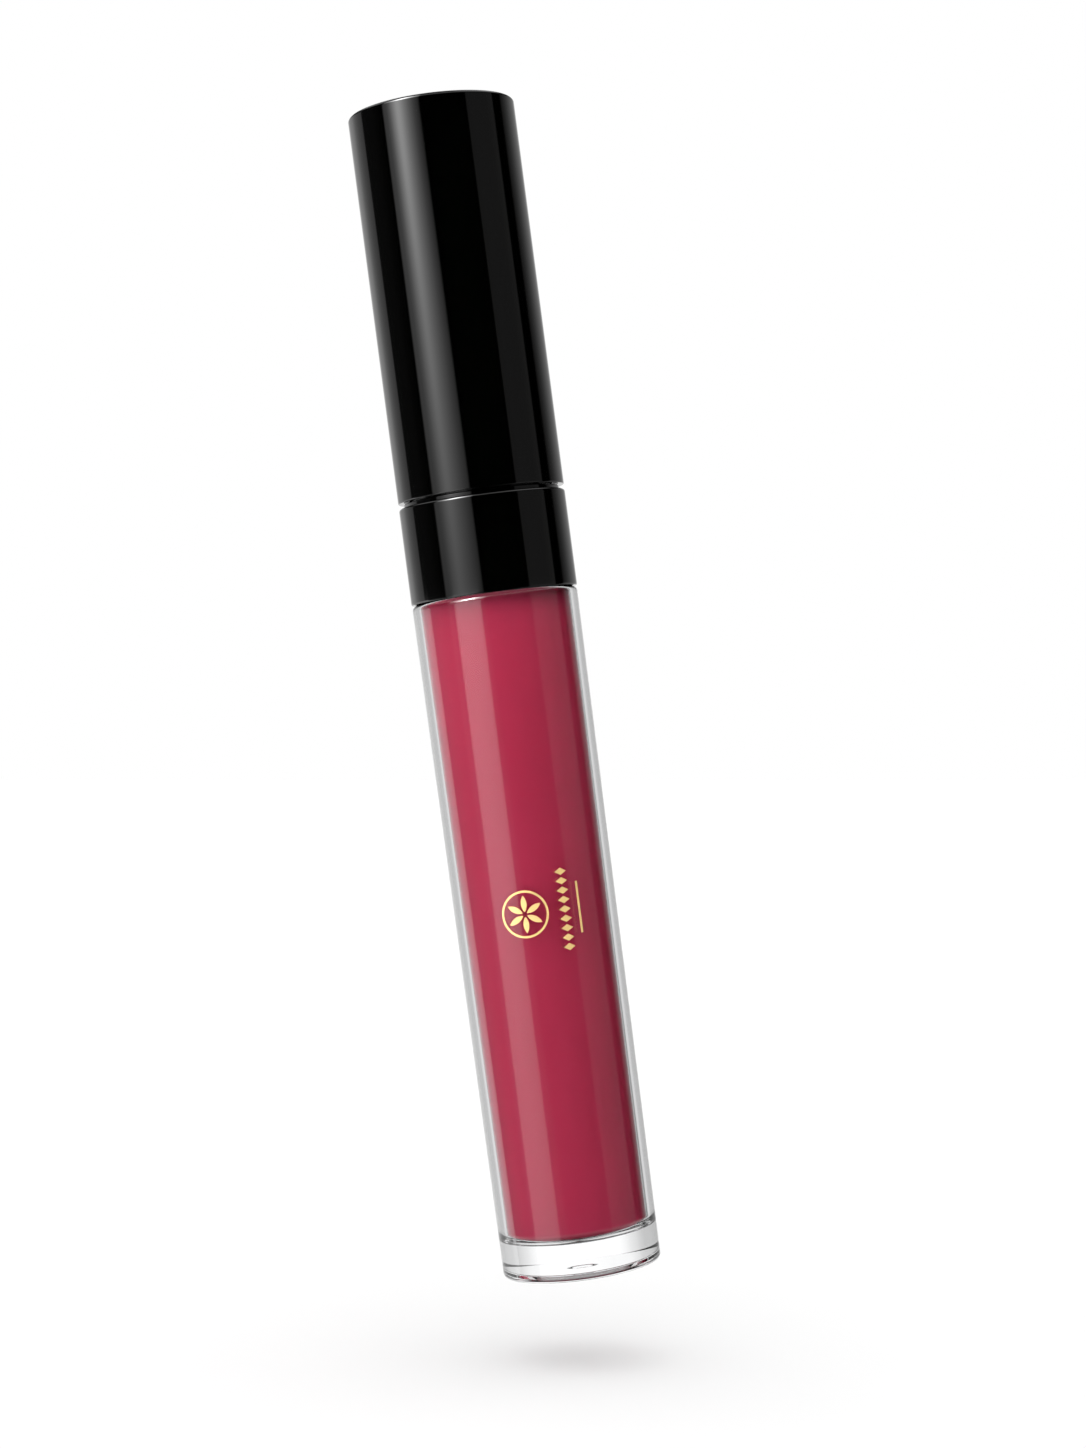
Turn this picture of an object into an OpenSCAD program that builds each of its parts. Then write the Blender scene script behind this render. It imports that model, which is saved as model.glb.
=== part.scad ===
// Lip gloss tube: a drafted clear shell around a threaded vial, a collar, and a screw cap
// that carries the wand. The axis is Z, the tube stands on z = 0 and is drawn closed.

/* [Overall] */
// Height of the closed tube
total_h = 120; // [116:0.5:126]
// Diameter of the cap and the collar
barrel_d = 17.2; // [17.2:0.1:18]
// Height of the clear shell, up to the collar
shell_h = 69.6; // [68:0.2:70]
// Height of the collar
collar_h = 10; // [9.6:0.1:10.2]

/* [Clear shell] */
// Outer diameter of the shell where it meets the collar
shell_top_d = 17.1; // [17:0.02:17.16]
// Outer diameter of the shell at its base
shell_base_d = 16.28; // [16.1:0.02:16.6]
// Solid plastic under the cavity
base_t = 3.6; // [2.5:0.1:5]
// Radius of the rounded edge round the base
base_edge_r = 0.45; // [0.2:0.05:0.6]
// Diameter of the shallow dish under the base
dish_d = 11.3; // [10:0.1:12.6]
// Depth of that dish
dish_h = 0.5; // [0.3:0.05:0.8]

/* [Vial] */
// Outer diameter of the vial at the collar
vial_top_d = 15.4; // [15.2:0.02:15.42]
// Outer diameter of the vial at its floor
vial_base_d = 14.4; // [14:0.05:14.6]
// Wall thickness of the vial
vial_wall = 0.7; // [0.5:0.05:0.9]
// Air gap between the vial and the shell
air_gap = 0.1; // [0.05:0.01:0.14]
// Level that the gloss is filled to
fill_z = 73.5; // [60:0.5:73.5]

/* [Neck and thread] */
// Diameter of the neck between its threads
neck_d = 10.8; // [10.6:0.1:11]
// Height of the neck above the collar
neck_h = 13.4; // [13.4:0.1:14.4]
// Rise of the thread in one turn
thread_pitch = 3; // [2.8:0.1:3.2]
// Number of turns of thread
thread_turns = 1.5; // [1:0.25:1.5]
// Height of the thread's ridge
thread_h = 0.7; // [0.5:0.05:0.7]

/* [Cap] */
// Height of the visible groove between the collar and the cap
groove_h = 0.5; // [0.3:0.05:0.8]
// Diameter at the bottom of that groove
groove_d = 16.06; // [15.6:0.02:16.4]
// Wall thickness of the cap's shell
cap_wall = 1.2; // [1.1:0.02:1.24]
// Thickness of the cap's flat top
cap_roof = 1.4; // [1:0.1:2]
// Radius of the rounded edge round the cap's top
cap_edge_r = 0.35; // [0.2:0.05:0.6]

/* [Wand] */
// Diameter of the stem
stem_d = 4; // [3.8:0.05:4]
// Height of the applicator's tip above the base
tip_z = 9; // [8.6:0.2:14]
// Length of the flocked applicator
applicator_l = 12.5; // [10:0.5:14]
// Thickness of the flock on the applicator
flock_t = 0.45; // [0.3:0.05:0.6]
// Slope of the applicator's flat face to the wand's axis
applicator_slope = 14; // [10:1:16]

/* [Foil print] */
// Thickness of the foil
foil_t = 0.05; // [0.03:0.01:0.08]
// Height of the print's middle above the base
print_z = 37.2; // [30:0.2:45]
// Direction of the rosette, in degrees round from the front to the right
rosette_turn = -7; // [-20:1:5]
// Radius of the rosette
rosette_r = 2.4; // [1.8:0.1:2.6]
// Number of lozenges in the row
lozenge_count = 9; // [5:1:11]

/* [Hidden] */
$fn = 96;

barrel_r = barrel_d / 2;
shell_top_r = shell_top_d / 2;
shell_base_r = shell_base_d / 2;
shoulder_edge_r = 0.6;
dish_draft = 0.2;
gate_r = 1.05;
gate_h = 0.3;

vial_top_r = vial_top_d / 2;
vial_base_r = vial_base_d / 2;
vial_z = base_t + air_gap;
vial_floor_t = 0.5;
vial_edge_r = 1.1;
fluid_edge_r = 0.7;
fluid_z = vial_z + vial_floor_t;
vial_roof_z = shell_h + 6.9;

collar_z = shell_h;
collar_top_z = collar_z + collar_h;
collar_edge_r = 0.15;
collar_lip_edge_r = 0.3;
collar_roof_t = 3;
step_h = groove_h - 0.1;
spigot_h = 2.5;
spigot_gap = 0.15;

cap_z = collar_top_z + groove_h;
cap_bore_r = barrel_r - cap_wall;
spigot_r = cap_bore_r - spigot_gap;

neck_r = neck_d / 2;
neck_root_r = neck_r + thread_h;
neck_root_z = cap_z + 2.7;
neck_top_z = collar_top_z + neck_h;
neck_bore_r = neck_r - 1.1;
fit_gap = 0.05;

ridge_z = neck_root_z + 1.6;
ridge_lift = 0.4;
ridge_crest_w = 0.35;
ridge_sunk = 0.3;
ridge_steps = 32;

stem_r = stem_d / 2;
lip_gap = 0.15;
lip_r = stem_r + lip_gap;
wiper_flange_h = 0.8;
wiper_l = 9;
flange_r = neck_r - 0.1;

liner_z = neck_root_z + 0.2;
liner_bore_r = neck_root_r + 0.15;
liner_wall = 0.75;
liner_crest_r = neck_r + 0.1;
gasket_h = 0.8;
end_gap = 0.1;
gasket_z = neck_top_z + wiper_flange_h + end_gap;
liner_roof_z = gasket_z + gasket_h + end_gap;
liner_roof_t = 1.5;
socket_h = 6;
socket_r = 3.2;
fin_w = 1;
grip_w = 0.8;
grip_count = 12;
fin_count = 4;
cap_ceiling_z = total_h - cap_roof;
liner_top_z = cap_ceiling_z - 2 * end_gap;
stem_top_z = liner_roof_z + liner_roof_t + socket_h - end_gap;

shoulder_z = tip_z + applicator_l + 0.5;
plug_r = 1.2;
plug_l = 5;
flock_r = stem_r - 0.05;
channel_r = stem_r + 0.25;
film_r = stem_r + 0.1;
film_gap = 0.02;
film_z = shoulder_z + thread_pitch * thread_turns + 0.5;
film_top_z = neck_top_z - wiper_l;

// Points along an arc of radius r round [x, z], from angle a to angle b
function arc(x, z, r, a, b, steps = 8) =
    [for (i = [0:steps]) let (t = a + (b - a) * i / steps) [x + r * cos(t), z + r * sin(t)]];

// Radius at height z of a wall that opens from r0 at z0 to r1 at z1
function drafted(z, r0, z0, r1, z1) = r0 + (r1 - r0) * (z - z0) / (z1 - z0);

// Outer radius of the clear shell at height z
function shell_r(z) = drafted(z, shell_base_r, 0, shell_top_r, shell_h);

// Solid of revolution with rounded outer edges, from z0 up to z1
module barrel(r, z0, z1, edge) {
    rotate_extrude() {
        translate([0, z0]) square([r - edge, z1 - z0]);
        translate([0, z0 + edge]) square([r, z1 - z0 - 2 * edge]);
        for (z = [z0 + edge, z1 - edge]) translate([r - edge, z]) circle(edge);
    }
}

// Plain cylinder from z0 up to z1
module drum(r, z0, z1) {
    translate([0, 0, z0]) cylinder(r = r, h = z1 - z0);
}

// Helical ridge from radius root, sunk in its wall, to radius crest, whose middle starts at z0
module thread_ridge(root, crest, z0) {
    steps = round(thread_turns * ridge_steps);
    root_w = ridge_crest_w + abs(crest - root) / 2;
    points = [
        for (i = [0:steps])
            let (
                a = 360 * i / ridge_steps,
                z = z0 + thread_pitch * i / ridge_steps,
                grow = min(1, 0.3 + i / 5, 0.3 + (steps - i) / 5),
                tip = root + (crest - root) * grow
            )
            each [
                [root * cos(a), root * sin(a), z - root_w],
                [tip * cos(a), tip * sin(a), z - ridge_crest_w],
                [tip * cos(a), tip * sin(a), z + ridge_crest_w],
                [root * cos(a), root * sin(a), z + root_w]
            ]
    ];
    sides = [
        for (i = [0:steps - 1]) for (k = [0:3])
            let (a = 4 * i + k, b = 4 * i + (k + 1) % 4)
            [a, b, b + 4, a + 4]
    ];
    last = 4 * steps;
    ends = [[3, 2, 1, 0], [last, last + 1, last + 2, last + 3]];
    outward = crest > root;
    faces = concat(sides, ends);
    polyhedron(points, outward ? faces : [for (f = faces) [for (k = [3:-1:0]) f[k]]]);
}

module outer_shell() {
    cavity_r = vial_top_r + air_gap;
    cavity_base_r = vial_base_r + air_gap;
    color([0.93, 0.95, 0.97, 0.35]) rotate_extrude() polygon(concat(
        [[0, dish_h - gate_h], [gate_r, dish_h - gate_h], [gate_r, dish_h]],
        [[dish_d / 2 - dish_draft, dish_h], [dish_d / 2, 0]],
        arc(shell_base_r - base_edge_r, base_edge_r, base_edge_r, -90, 0),
        arc(shell_top_r - shoulder_edge_r, shell_h - shoulder_edge_r, shoulder_edge_r, 0, 90),
        [[cavity_r, shell_h]],
        arc(cavity_base_r - vial_edge_r, base_t + vial_edge_r, vial_edge_r, 0, -90),
        [[0, base_t]]
    ));
}

module vial_outline() {
    polygon(concat(
        [[0, vial_z]],
        arc(vial_base_r - vial_edge_r, vial_z + vial_edge_r, vial_edge_r, -90, 0),
        [[vial_top_r, shell_h]],
        arc(vial_top_r - fluid_edge_r, vial_roof_z - fluid_edge_r, fluid_edge_r, 0, 90),
        [[neck_root_r, vial_roof_z], [neck_root_r, neck_root_z], [neck_r, neck_root_z]],
        [[neck_r, neck_top_z - 0.2], [neck_r - 0.2, neck_top_z], [0, neck_top_z]]
    ));
}

// Half section of the space inside the vial's body, up to height top
module vial_space(top) {
    base_r = vial_base_r - vial_wall;
    top_r = vial_top_r - vial_wall;
    polygon(concat(
        [[0, fluid_z]],
        arc(base_r - fluid_edge_r, fluid_z + fluid_edge_r, fluid_edge_r, -90, 0),
        [[top_r, shell_h], [top_r, top], [0, top]]
    ));
}

module inner_vial() {
    color([0.96, 0.96, 0.98, 0.3]) union() {
        rotate_extrude() difference() {
            vial_outline();
            vial_space(vial_roof_z - 1.1);
            translate([0, vial_z + 9]) square([neck_bore_r, neck_top_z]);
        }
        thread_ridge(neck_r - ridge_sunk, neck_root_r, ridge_z);
    }
}

module gloss_fill() {
    color([0.68, 0.16, 0.27]) difference() {
        rotate_extrude() vial_space(fill_z);
        drum(channel_r, tip_z, fill_z + 1);
        translate([0, 0, tip_z]) sphere(channel_r);
    }
}

// Funnel of soft plastic in the neck, whose lip strips the wand
module wiper() {
    sleeve_r = neck_bore_r - fit_gap / 2;
    lip_z = neck_top_z - wiper_l;
    color([0.95, 0.95, 0.93]) rotate_extrude() polygon([
        [lip_r, lip_z], [lip_r + 0.45, lip_z], [sleeve_r - 0.5, lip_z + 3.4],
        [sleeve_r, lip_z + 4], [sleeve_r, neck_top_z], [flange_r, neck_top_z],
        [flange_r, neck_top_z + wiper_flange_h], [sleeve_r - 0.4, neck_top_z + wiper_flange_h],
        [sleeve_r - 0.6, neck_top_z - 0.6], [sleeve_r - 0.6, lip_z + 4.4], [lip_r, lip_z + 0.7]
    ]);
}

module collar() {
    roof_z = collar_top_z - collar_roof_t;
    color([0.02, 0.02, 0.02]) difference() {
        union() {
            barrel(barrel_r, collar_z, collar_top_z - 1, collar_edge_r);
            barrel(barrel_r, collar_z + 1, collar_top_z, collar_lip_edge_r);
            drum(groove_d / 2, collar_z + 1, collar_top_z + step_h);
            drum(spigot_r, collar_z + 1, collar_top_z + step_h + spigot_h);
        }
        drum(vial_top_r + fit_gap, collar_z - 1, roof_z);
        drum(neck_root_r + fit_gap, collar_z, neck_top_z);
    }
}

// Cuts its children, drawn flat, out of the foil on the shell, turned round to the right by turn
module printed(turn) {
    span = 8;
    intersection() {
        rotate_extrude() polygon([
            [shell_r(print_z - span), print_z - span],
            [shell_r(print_z - span) + foil_t, print_z - span],
            [shell_r(print_z + span) + foil_t, print_z + span],
            [shell_r(print_z + span), print_z + span]
        ]);
        rotate([0, 0, turn]) translate([0, 0, print_z]) rotate([90, 0, 0])
            linear_extrude(barrel_r + 1) children();
    }
}

// A leaf shape between two arcs, from the origin up to height h
module petal(h) {
    bow = 0.8 * h;
    intersection_for (side = [-1, 1])
        translate([side * bow * 0.78, h / 2]) circle(bow);
}

module foil_rosette() {
    petals = 6;
    color([0.94, 0.77, 0.42]) printed(rosette_turn) {
        difference() {
            circle(rosette_r);
            circle(rosette_r - 0.22);
        }
        for (i = [0:petals - 1]) rotate(360 / petals * i)
            translate([0, 0.24]) petal(rosette_r - 0.75);
    }
}

module foil_row() {
    pitch = 0.95;
    half_w = 0.62;
    half_h = 0.36;
    rule_l = 5.2;
    rule_w = 0.22;
    color([0.94, 0.77, 0.42]) {
        printed(rosette_turn + 28) for (i = [0:lozenge_count - 1])
            translate([0, pitch * (i - (lozenge_count - 1) / 2)])
                polygon([[half_w, 0], [0, half_h], [-half_w, 0], [0, -half_h]]);
        printed(rosette_turn + 39) square([rule_w, rule_l], center = true);
    }
}

// Gloss that the wand draws out, as a thin sleeve round the stem
module gloss_film() {
    color([0.68, 0.16, 0.27]) difference() {
        drum(film_r, film_z, film_top_z);
        drum(stem_r + film_gap, film_z - 1, film_top_z + 1);
    }
}

module gasket() {
    color([0.9, 0.9, 0.88]) difference() {
        drum(flange_r, gasket_z, gasket_z + gasket_h);
        drum(stem_r + end_gap, gasket_z - 1, gasket_z + gasket_h + 1);
    }
}

module cap_shell() {
    mouth_edge_r = 0.18;
    color([0.02, 0.02, 0.02]) difference() {
        union() {
            barrel(barrel_r, cap_z, total_h - 1, mouth_edge_r);
            barrel(barrel_r, cap_z + 1, total_h, cap_edge_r);
        }
        drum(cap_bore_r, cap_z - 1, cap_ceiling_z);
    }
}

// Threaded inner cap, with the stem's socket and the fins that carry the shell
module cap_liner() {
    skirt_r = liner_bore_r + liner_wall;
    roof_top_z = liner_roof_z + liner_roof_t;
    grip_r = cap_bore_r - 0.03;
    color([0.1, 0.1, 0.1]) union() {
        difference() {
            union() {
                drum(skirt_r, liner_z, roof_top_z);
                drum(socket_r, roof_top_z - 1, liner_top_z);
                for (i = [0:grip_count - 1]) rotate([0, 0, 360 / grip_count * i])
                    translate([skirt_r - 0.3, -grip_w / 2, liner_z])
                        cube([grip_r - skirt_r + 0.28, grip_w, roof_top_z - liner_z]);
                for (i = [0:fin_count - 1]) rotate([0, 0, 360 / fin_count * i])
                    translate([socket_r - 0.5, -fin_w / 2, roof_top_z - 0.5])
                        cube([grip_r - socket_r + 0.46, fin_w, liner_top_z - roof_top_z + 0.5]);
            }
            drum(liner_bore_r, liner_z - 1, liner_roof_z);
            drum(stem_r + film_gap, liner_z, roof_top_z + socket_h);
        }
        thread_ridge(
            liner_bore_r + ridge_sunk, liner_crest_r,
            ridge_z + thread_pitch / 2 + ridge_lift
        );
    }
}

module wand_stem() {
    color([0.03, 0.03, 0.03]) difference() {
        drum(stem_r, shoulder_z, stem_top_z);
        drum(plug_r + film_gap, shoulder_z - 1, shoulder_z + plug_l + end_gap);
    }
}

// Slanted applicator of radius r, its sides and its tip drawn in by inset
module paddle(r, inset) {
    intersection() {
        union() {
            drum(r, tip_z + inset + r, shoulder_z - 0.5);
            translate([0, 0, tip_z + inset + r]) sphere(r);
        }
        translate([0, 0.3 * flock_r + inset, tip_z]) rotate([applicator_slope, 0, 0])
            translate([-5, 0, -10]) cube([10, 10, 40]);
    }
}

module applicator_core() {
    color([0.9, 0.86, 0.86]) union() {
        paddle(flock_r - flock_t, flock_t);
        drum(plug_r, shoulder_z - 1.5, shoulder_z + plug_l);
        drum(flock_r, shoulder_z - 0.5, shoulder_z - film_gap);
    }
}

module applicator_flock() {
    color([0.72, 0.3, 0.38]) difference() {
        paddle(flock_r, 0);
        paddle(flock_r - flock_t, flock_t);
        drum(plug_r, shoulder_z - 1.5, shoulder_z + plug_l);
    }
}

outer_shell();
inner_vial();
gloss_fill();
wiper();
collar();
foil_rosette();
foil_row();
gloss_film();
gasket();
cap_shell();
cap_liner();
wand_stem();
applicator_core();
applicator_flock();
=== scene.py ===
import enum
import logging
import math
from collections.abc import Mapping, Sequence
from dataclasses import dataclass, field
from typing import ClassVar

import bmesh
import bpy
from mathutils import Matrix, Vector


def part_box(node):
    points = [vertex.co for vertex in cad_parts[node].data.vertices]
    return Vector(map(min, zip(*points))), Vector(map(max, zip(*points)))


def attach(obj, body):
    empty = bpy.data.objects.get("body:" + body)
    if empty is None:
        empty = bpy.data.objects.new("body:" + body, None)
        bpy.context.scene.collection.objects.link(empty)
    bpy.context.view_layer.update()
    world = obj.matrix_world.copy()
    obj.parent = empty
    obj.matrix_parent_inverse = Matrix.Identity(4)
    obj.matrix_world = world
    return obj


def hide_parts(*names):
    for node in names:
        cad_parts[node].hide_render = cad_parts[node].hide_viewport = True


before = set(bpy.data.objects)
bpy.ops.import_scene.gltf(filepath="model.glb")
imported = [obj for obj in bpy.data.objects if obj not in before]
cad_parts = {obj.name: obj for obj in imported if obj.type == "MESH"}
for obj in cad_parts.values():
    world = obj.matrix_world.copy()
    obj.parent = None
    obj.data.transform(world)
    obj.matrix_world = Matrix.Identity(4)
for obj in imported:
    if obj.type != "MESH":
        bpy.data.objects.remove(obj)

logging.basicConfig(level=logging.INFO, format="%(name)s: %(message)s")
log = logging.getLogger("lip_gloss")

MM = 0.001
WELD = 0.0005 * MM      # points closer than this are one
SLIVER = 0.0002 * MM    # edges shorter than this are dissolved
Point = tuple[float, float]
Colour = tuple[float, float, float]
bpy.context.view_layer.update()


class Body(enum.Enum):
    """The bodies that the joints move."""

    TUBE = "tube"
    FILM = "film"
    WASHER = "washer"
    CAP = "cap"


class Maths(enum.Enum):
    """The scalar operations that expressions use."""

    ADD = "ADD"
    SUBTRACT = "SUBTRACT"
    MULTIPLY = "MULTIPLY"
    DIVIDE = "DIVIDE"
    POWER = "POWER"
    GREATER = "GREATER_THAN"
    MINIMUM = "MINIMUM"
    MAXIMUM = "MAXIMUM"
    ARCTAN2 = "ARCTAN2"
    ARCSINE = "ARCSINE"
    SINE = "SINE"
    COSINE = "COSINE"
    ABSOLUTE = "ABSOLUTE"


class Value:
    """A node's output that can be used in Python expressions."""

    def __init__(self, graph: "Graph", socket: bpy.types.NodeSocket) -> None:
        """Wraps one output.

        Args:
            graph: The tree that the socket is in.
            socket: The output to wrap.
        """
        self.graph = graph
        self.socket = socket

    def apply(self, operation: Maths, *others: "Value | float") -> "Value":
        """Adds one Math node with this value as its first input.

        Args:
            operation: What the node works out.
            others: The further inputs, values or numbers.

        Returns:
            The node's result.
        """
        return self.graph.maths(operation, self, *others)

    def __add__(self, other: "Value | float") -> "Value":
        """Returns self + other."""
        return self.apply(Maths.ADD, other)

    def __radd__(self, other: float) -> "Value":
        """Returns other + self."""
        return self.apply(Maths.ADD, other)

    def __sub__(self, other: "Value | float") -> "Value":
        """Returns self - other."""
        return self.apply(Maths.SUBTRACT, other)

    def __rsub__(self, other: float) -> "Value":
        """Returns other - self."""
        return self.graph.maths(Maths.SUBTRACT, other, self)

    def __mul__(self, other: "Value | float") -> "Value":
        """Returns self * other."""
        return self.apply(Maths.MULTIPLY, other)

    def __rmul__(self, other: float) -> "Value":
        """Returns other * self."""
        return self.apply(Maths.MULTIPLY, other)

    def __truediv__(self, other: "Value | float") -> "Value":
        """Returns self / other."""
        return self.apply(Maths.DIVIDE, other)

    def __pow__(self, other: "Value | float") -> "Value":
        """Returns self ** other."""
        return self.apply(Maths.POWER, other)


class Step:
    """One node, whose outputs are read by name."""

    def __init__(self, graph: "Graph", node: bpy.types.Node) -> None:
        """Wraps one node of a tree.

        Args:
            graph: The tree that the node is in.
            node: The node to wrap.
        """
        self.graph = graph
        self.node = node

    def __getitem__(self, key: str | int) -> Value:
        """Returns the output of this name or place that is in use."""
        outputs = self.node.outputs
        if isinstance(key, int):
            return Value(self.graph, outputs[key])
        return Value(self.graph, next(s for s in outputs if s.name == key and s.enabled))


class Graph:
    """A shader or geometry tree that is built in Python."""

    def __init__(self, tree: bpy.types.NodeTree) -> None:
        """Wraps a node tree.

        Args:
            tree: The tree that nodes are added to.
        """
        self.tree = tree

    def add(
        self,
        kind: str,
        settings: Mapping[str, object] | None = None,
        inputs: Mapping[str | int, object] | None = None,
    ) -> Step:
        """Adds a node of any type.

        Args:
            kind: The node's type name.
            settings: Its properties, set first. "stops" are a ramp's places and colours.
            inputs: Values or links of its inputs, by name or by place.

        Returns:
            The node.
        """
        node = self.tree.nodes.new(kind)
        for key, value in (settings or {}).items():
            if key == "stops":
                self._set_stops(node.color_ramp, value)
            else:
                setattr(node, key, value)
        for key, value in (inputs or {}).items():
            self.feed(node, key, value)
        return Step(self, node)

    def feed(self, node: bpy.types.Node, key: str | int, value: object) -> None:
        """Links or sets one input of a node.

        Args:
            node: The node that takes the input.
            key: The input's name or place.
            value: A Value to link, or a constant.
        """
        if isinstance(key, int):
            socket = node.inputs[key]
        else:
            socket = next(s for s in node.inputs if s.name == key and s.enabled)
        if isinstance(value, Value):
            self.tree.links.new(value.socket, socket)
        elif isinstance(value, tuple) and len(value) == 3 and socket.type == "RGBA":
            socket.default_value = (*value, 1.0)
        else:
            socket.default_value = value

    def maths(self, operation: Maths, *values: Value | float) -> Value:
        """Adds one Math node.

        Args:
            operation: What the node works out.
            values: Its inputs, in order.

        Returns:
            The node's result.
        """
        step = self.add("ShaderNodeMath", {"operation": operation.value}, dict(enumerate(values)))
        return step[0]

    def mix(self, factor: Value | float, first: object, second: object) -> Value:
        """Mixes two colours.

        Args:
            factor: 0 gives the first colour and 1 the second.
            first: A colour or a value that holds one.
            second: A colour or a value that holds one.

        Returns:
            The mixed colour.
        """
        sockets = {"Factor": factor, "A": first, "B": second}
        return self.add("ShaderNodeMix", {"data_type": "RGBA"}, sockets)["Result"]

    def ramp(self, factor: Value, stops: Sequence[tuple[float, float]]) -> Value:
        """Turns a factor into a number by a ramp of grey stops.

        Args:
            factor: The place on the ramp, 0 to 1.
            stops: Pairs of place and number.

        Returns:
            The number at that place.
        """
        grey = [(place, (level, level, level, 1.0)) for place, level in stops]
        return self.add("ShaderNodeValToRGB", {"stops": grey}, {"Fac": factor})["Color"]

    @staticmethod
    def _set_stops(ramp: bpy.types.ColorRamp, stops: Sequence[tuple[float, object]]) -> None:
        """Gives a colour ramp its stops.

        Args:
            ramp: The ramp to set.
            stops: Pairs of place and colour with alpha, in order.
        """
        while len(ramp.elements) > 1:
            ramp.elements.remove(ramp.elements[-1])
        for i, (place, colour) in enumerate(stops):
            element = ramp.elements[0] if i == 0 else ramp.elements.new(place)
            element.position = place
            element.color = colour


# ---------------------------------------------------------------- finishes


@dataclass(frozen=True)
class Finish:
    """A surface finish, made once as a material."""

    name: str
    _made: ClassVar[dict[str, bpy.types.Material]] = {}

    def material(self) -> bpy.types.Material:
        """Returns the finish's material, building it the first time."""
        if self.name in self._made:
            return self._made[self.name]
        material = bpy.data.materials.new(self.name)
        self._made[self.name] = material
        material.use_nodes = True
        material.node_tree.nodes.clear()
        graph = Graph(material.node_tree)
        surface = graph.add("ShaderNodeBsdfPrincipled")
        graph.add("ShaderNodeOutputMaterial", None, {"Surface": surface["BSDF"]})
        self.dress(graph, surface)
        return material

    def dress(self, graph: Graph, surface: Step) -> None:
        """Sets the surface's sockets. Each finish has its own."""

    @staticmethod
    def place(graph: Graph) -> Value:
        """Returns the point on the piece, in its own coordinates."""
        return graph.add("ShaderNodeTexCoord")["Object"]

    @staticmethod
    def noise(graph: Graph, place: Value, scale: float, detail: float = 2.0) -> Value:
        """Adds smooth noise.

        Args:
            graph: The material's tree.
            place: Where the noise is read.
            scale: How many features fit in a metre.
            detail: How many finer layers it has.

        Returns:
            A number round 0.5.
        """
        sockets = {"Vector": place, "Scale": scale, "Detail": detail}
        return graph.add("ShaderNodeTexNoise", None, sockets)["Fac"]

    @staticmethod
    def stretched(graph: Graph, place: Value, share: float) -> Value:
        """Returns a place scaled along the tube, so that what is read there is drawn out lengthways."""
        sockets = {"Vector": place, "Scale": (1.0, 1.0, share)}
        return graph.add("ShaderNodeMapping", None, sockets)["Vector"]

    @staticmethod
    def bump(graph: Graph, height: Value, depth: float) -> Value:
        """Adds a bump.

        Args:
            graph: The material's tree.
            height: The height, 0 to 1.
            depth: What a height of 1 measures, in metres.

        Returns:
            The bent normal.
        """
        sockets = {"Height": height, "Distance": depth, "Strength": 1.0}
        return graph.add("ShaderNodeBump", None, sockets)["Normal"]


@dataclass(frozen=True)
class GlossBlack(Finish):
    """Polished black moulding, with the faint waviness that moulded gloss has."""

    base: Colour = (0.0002, 0.0002, 0.0002)
    roughness: float = 0.035
    ior: float = 1.5
    haze: float = 0.02
    haze_scale: float = 260.0
    haze_stretch: float = 0.35
    ripple: float = 0.00000012
    ripple_scale: float = 420.0

    def dress(self, graph: Graph, surface: Step) -> None:
        """Sets a near-mirror dark surface with faint handling haze."""
        place = self.place(graph)
        drawn = self.stretched(graph, place, self.haze_stretch)
        haze = self.noise(graph, drawn, self.haze_scale, 4.0)
        wave = self.noise(graph, place, self.ripple_scale)
        graph.feed(surface.node, "Base Color", self.base)
        graph.feed(surface.node, "Roughness", self.roughness + haze * self.haze)
        graph.feed(surface.node, "IOR", self.ior)
        graph.feed(surface.node, "Normal", self.bump(graph, wave, self.ripple))


@dataclass(frozen=True)
class ClearPlastic(Finish):
    """Clear polished plastic."""

    tint: Colour = (0.992, 0.996, 1.0)
    ior: float = 1.49
    haze: float = 0.012
    haze_scale: float = 300.0
    haze_stretch: float = 0.2

    def dress(self, graph: Graph, surface: Step) -> None:
        """Sets a transmitting surface with a trace of flow haze."""
        place = self.place(graph)
        haze = self.noise(graph, self.stretched(graph, place, self.haze_stretch), self.haze_scale)
        graph.feed(surface.node, "Base Color", self.tint)
        graph.feed(surface.node, "Roughness", haze * self.haze)
        graph.feed(surface.node, "IOR", self.ior)
        graph.feed(surface.node, "Transmission Weight", 1.0)


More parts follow.
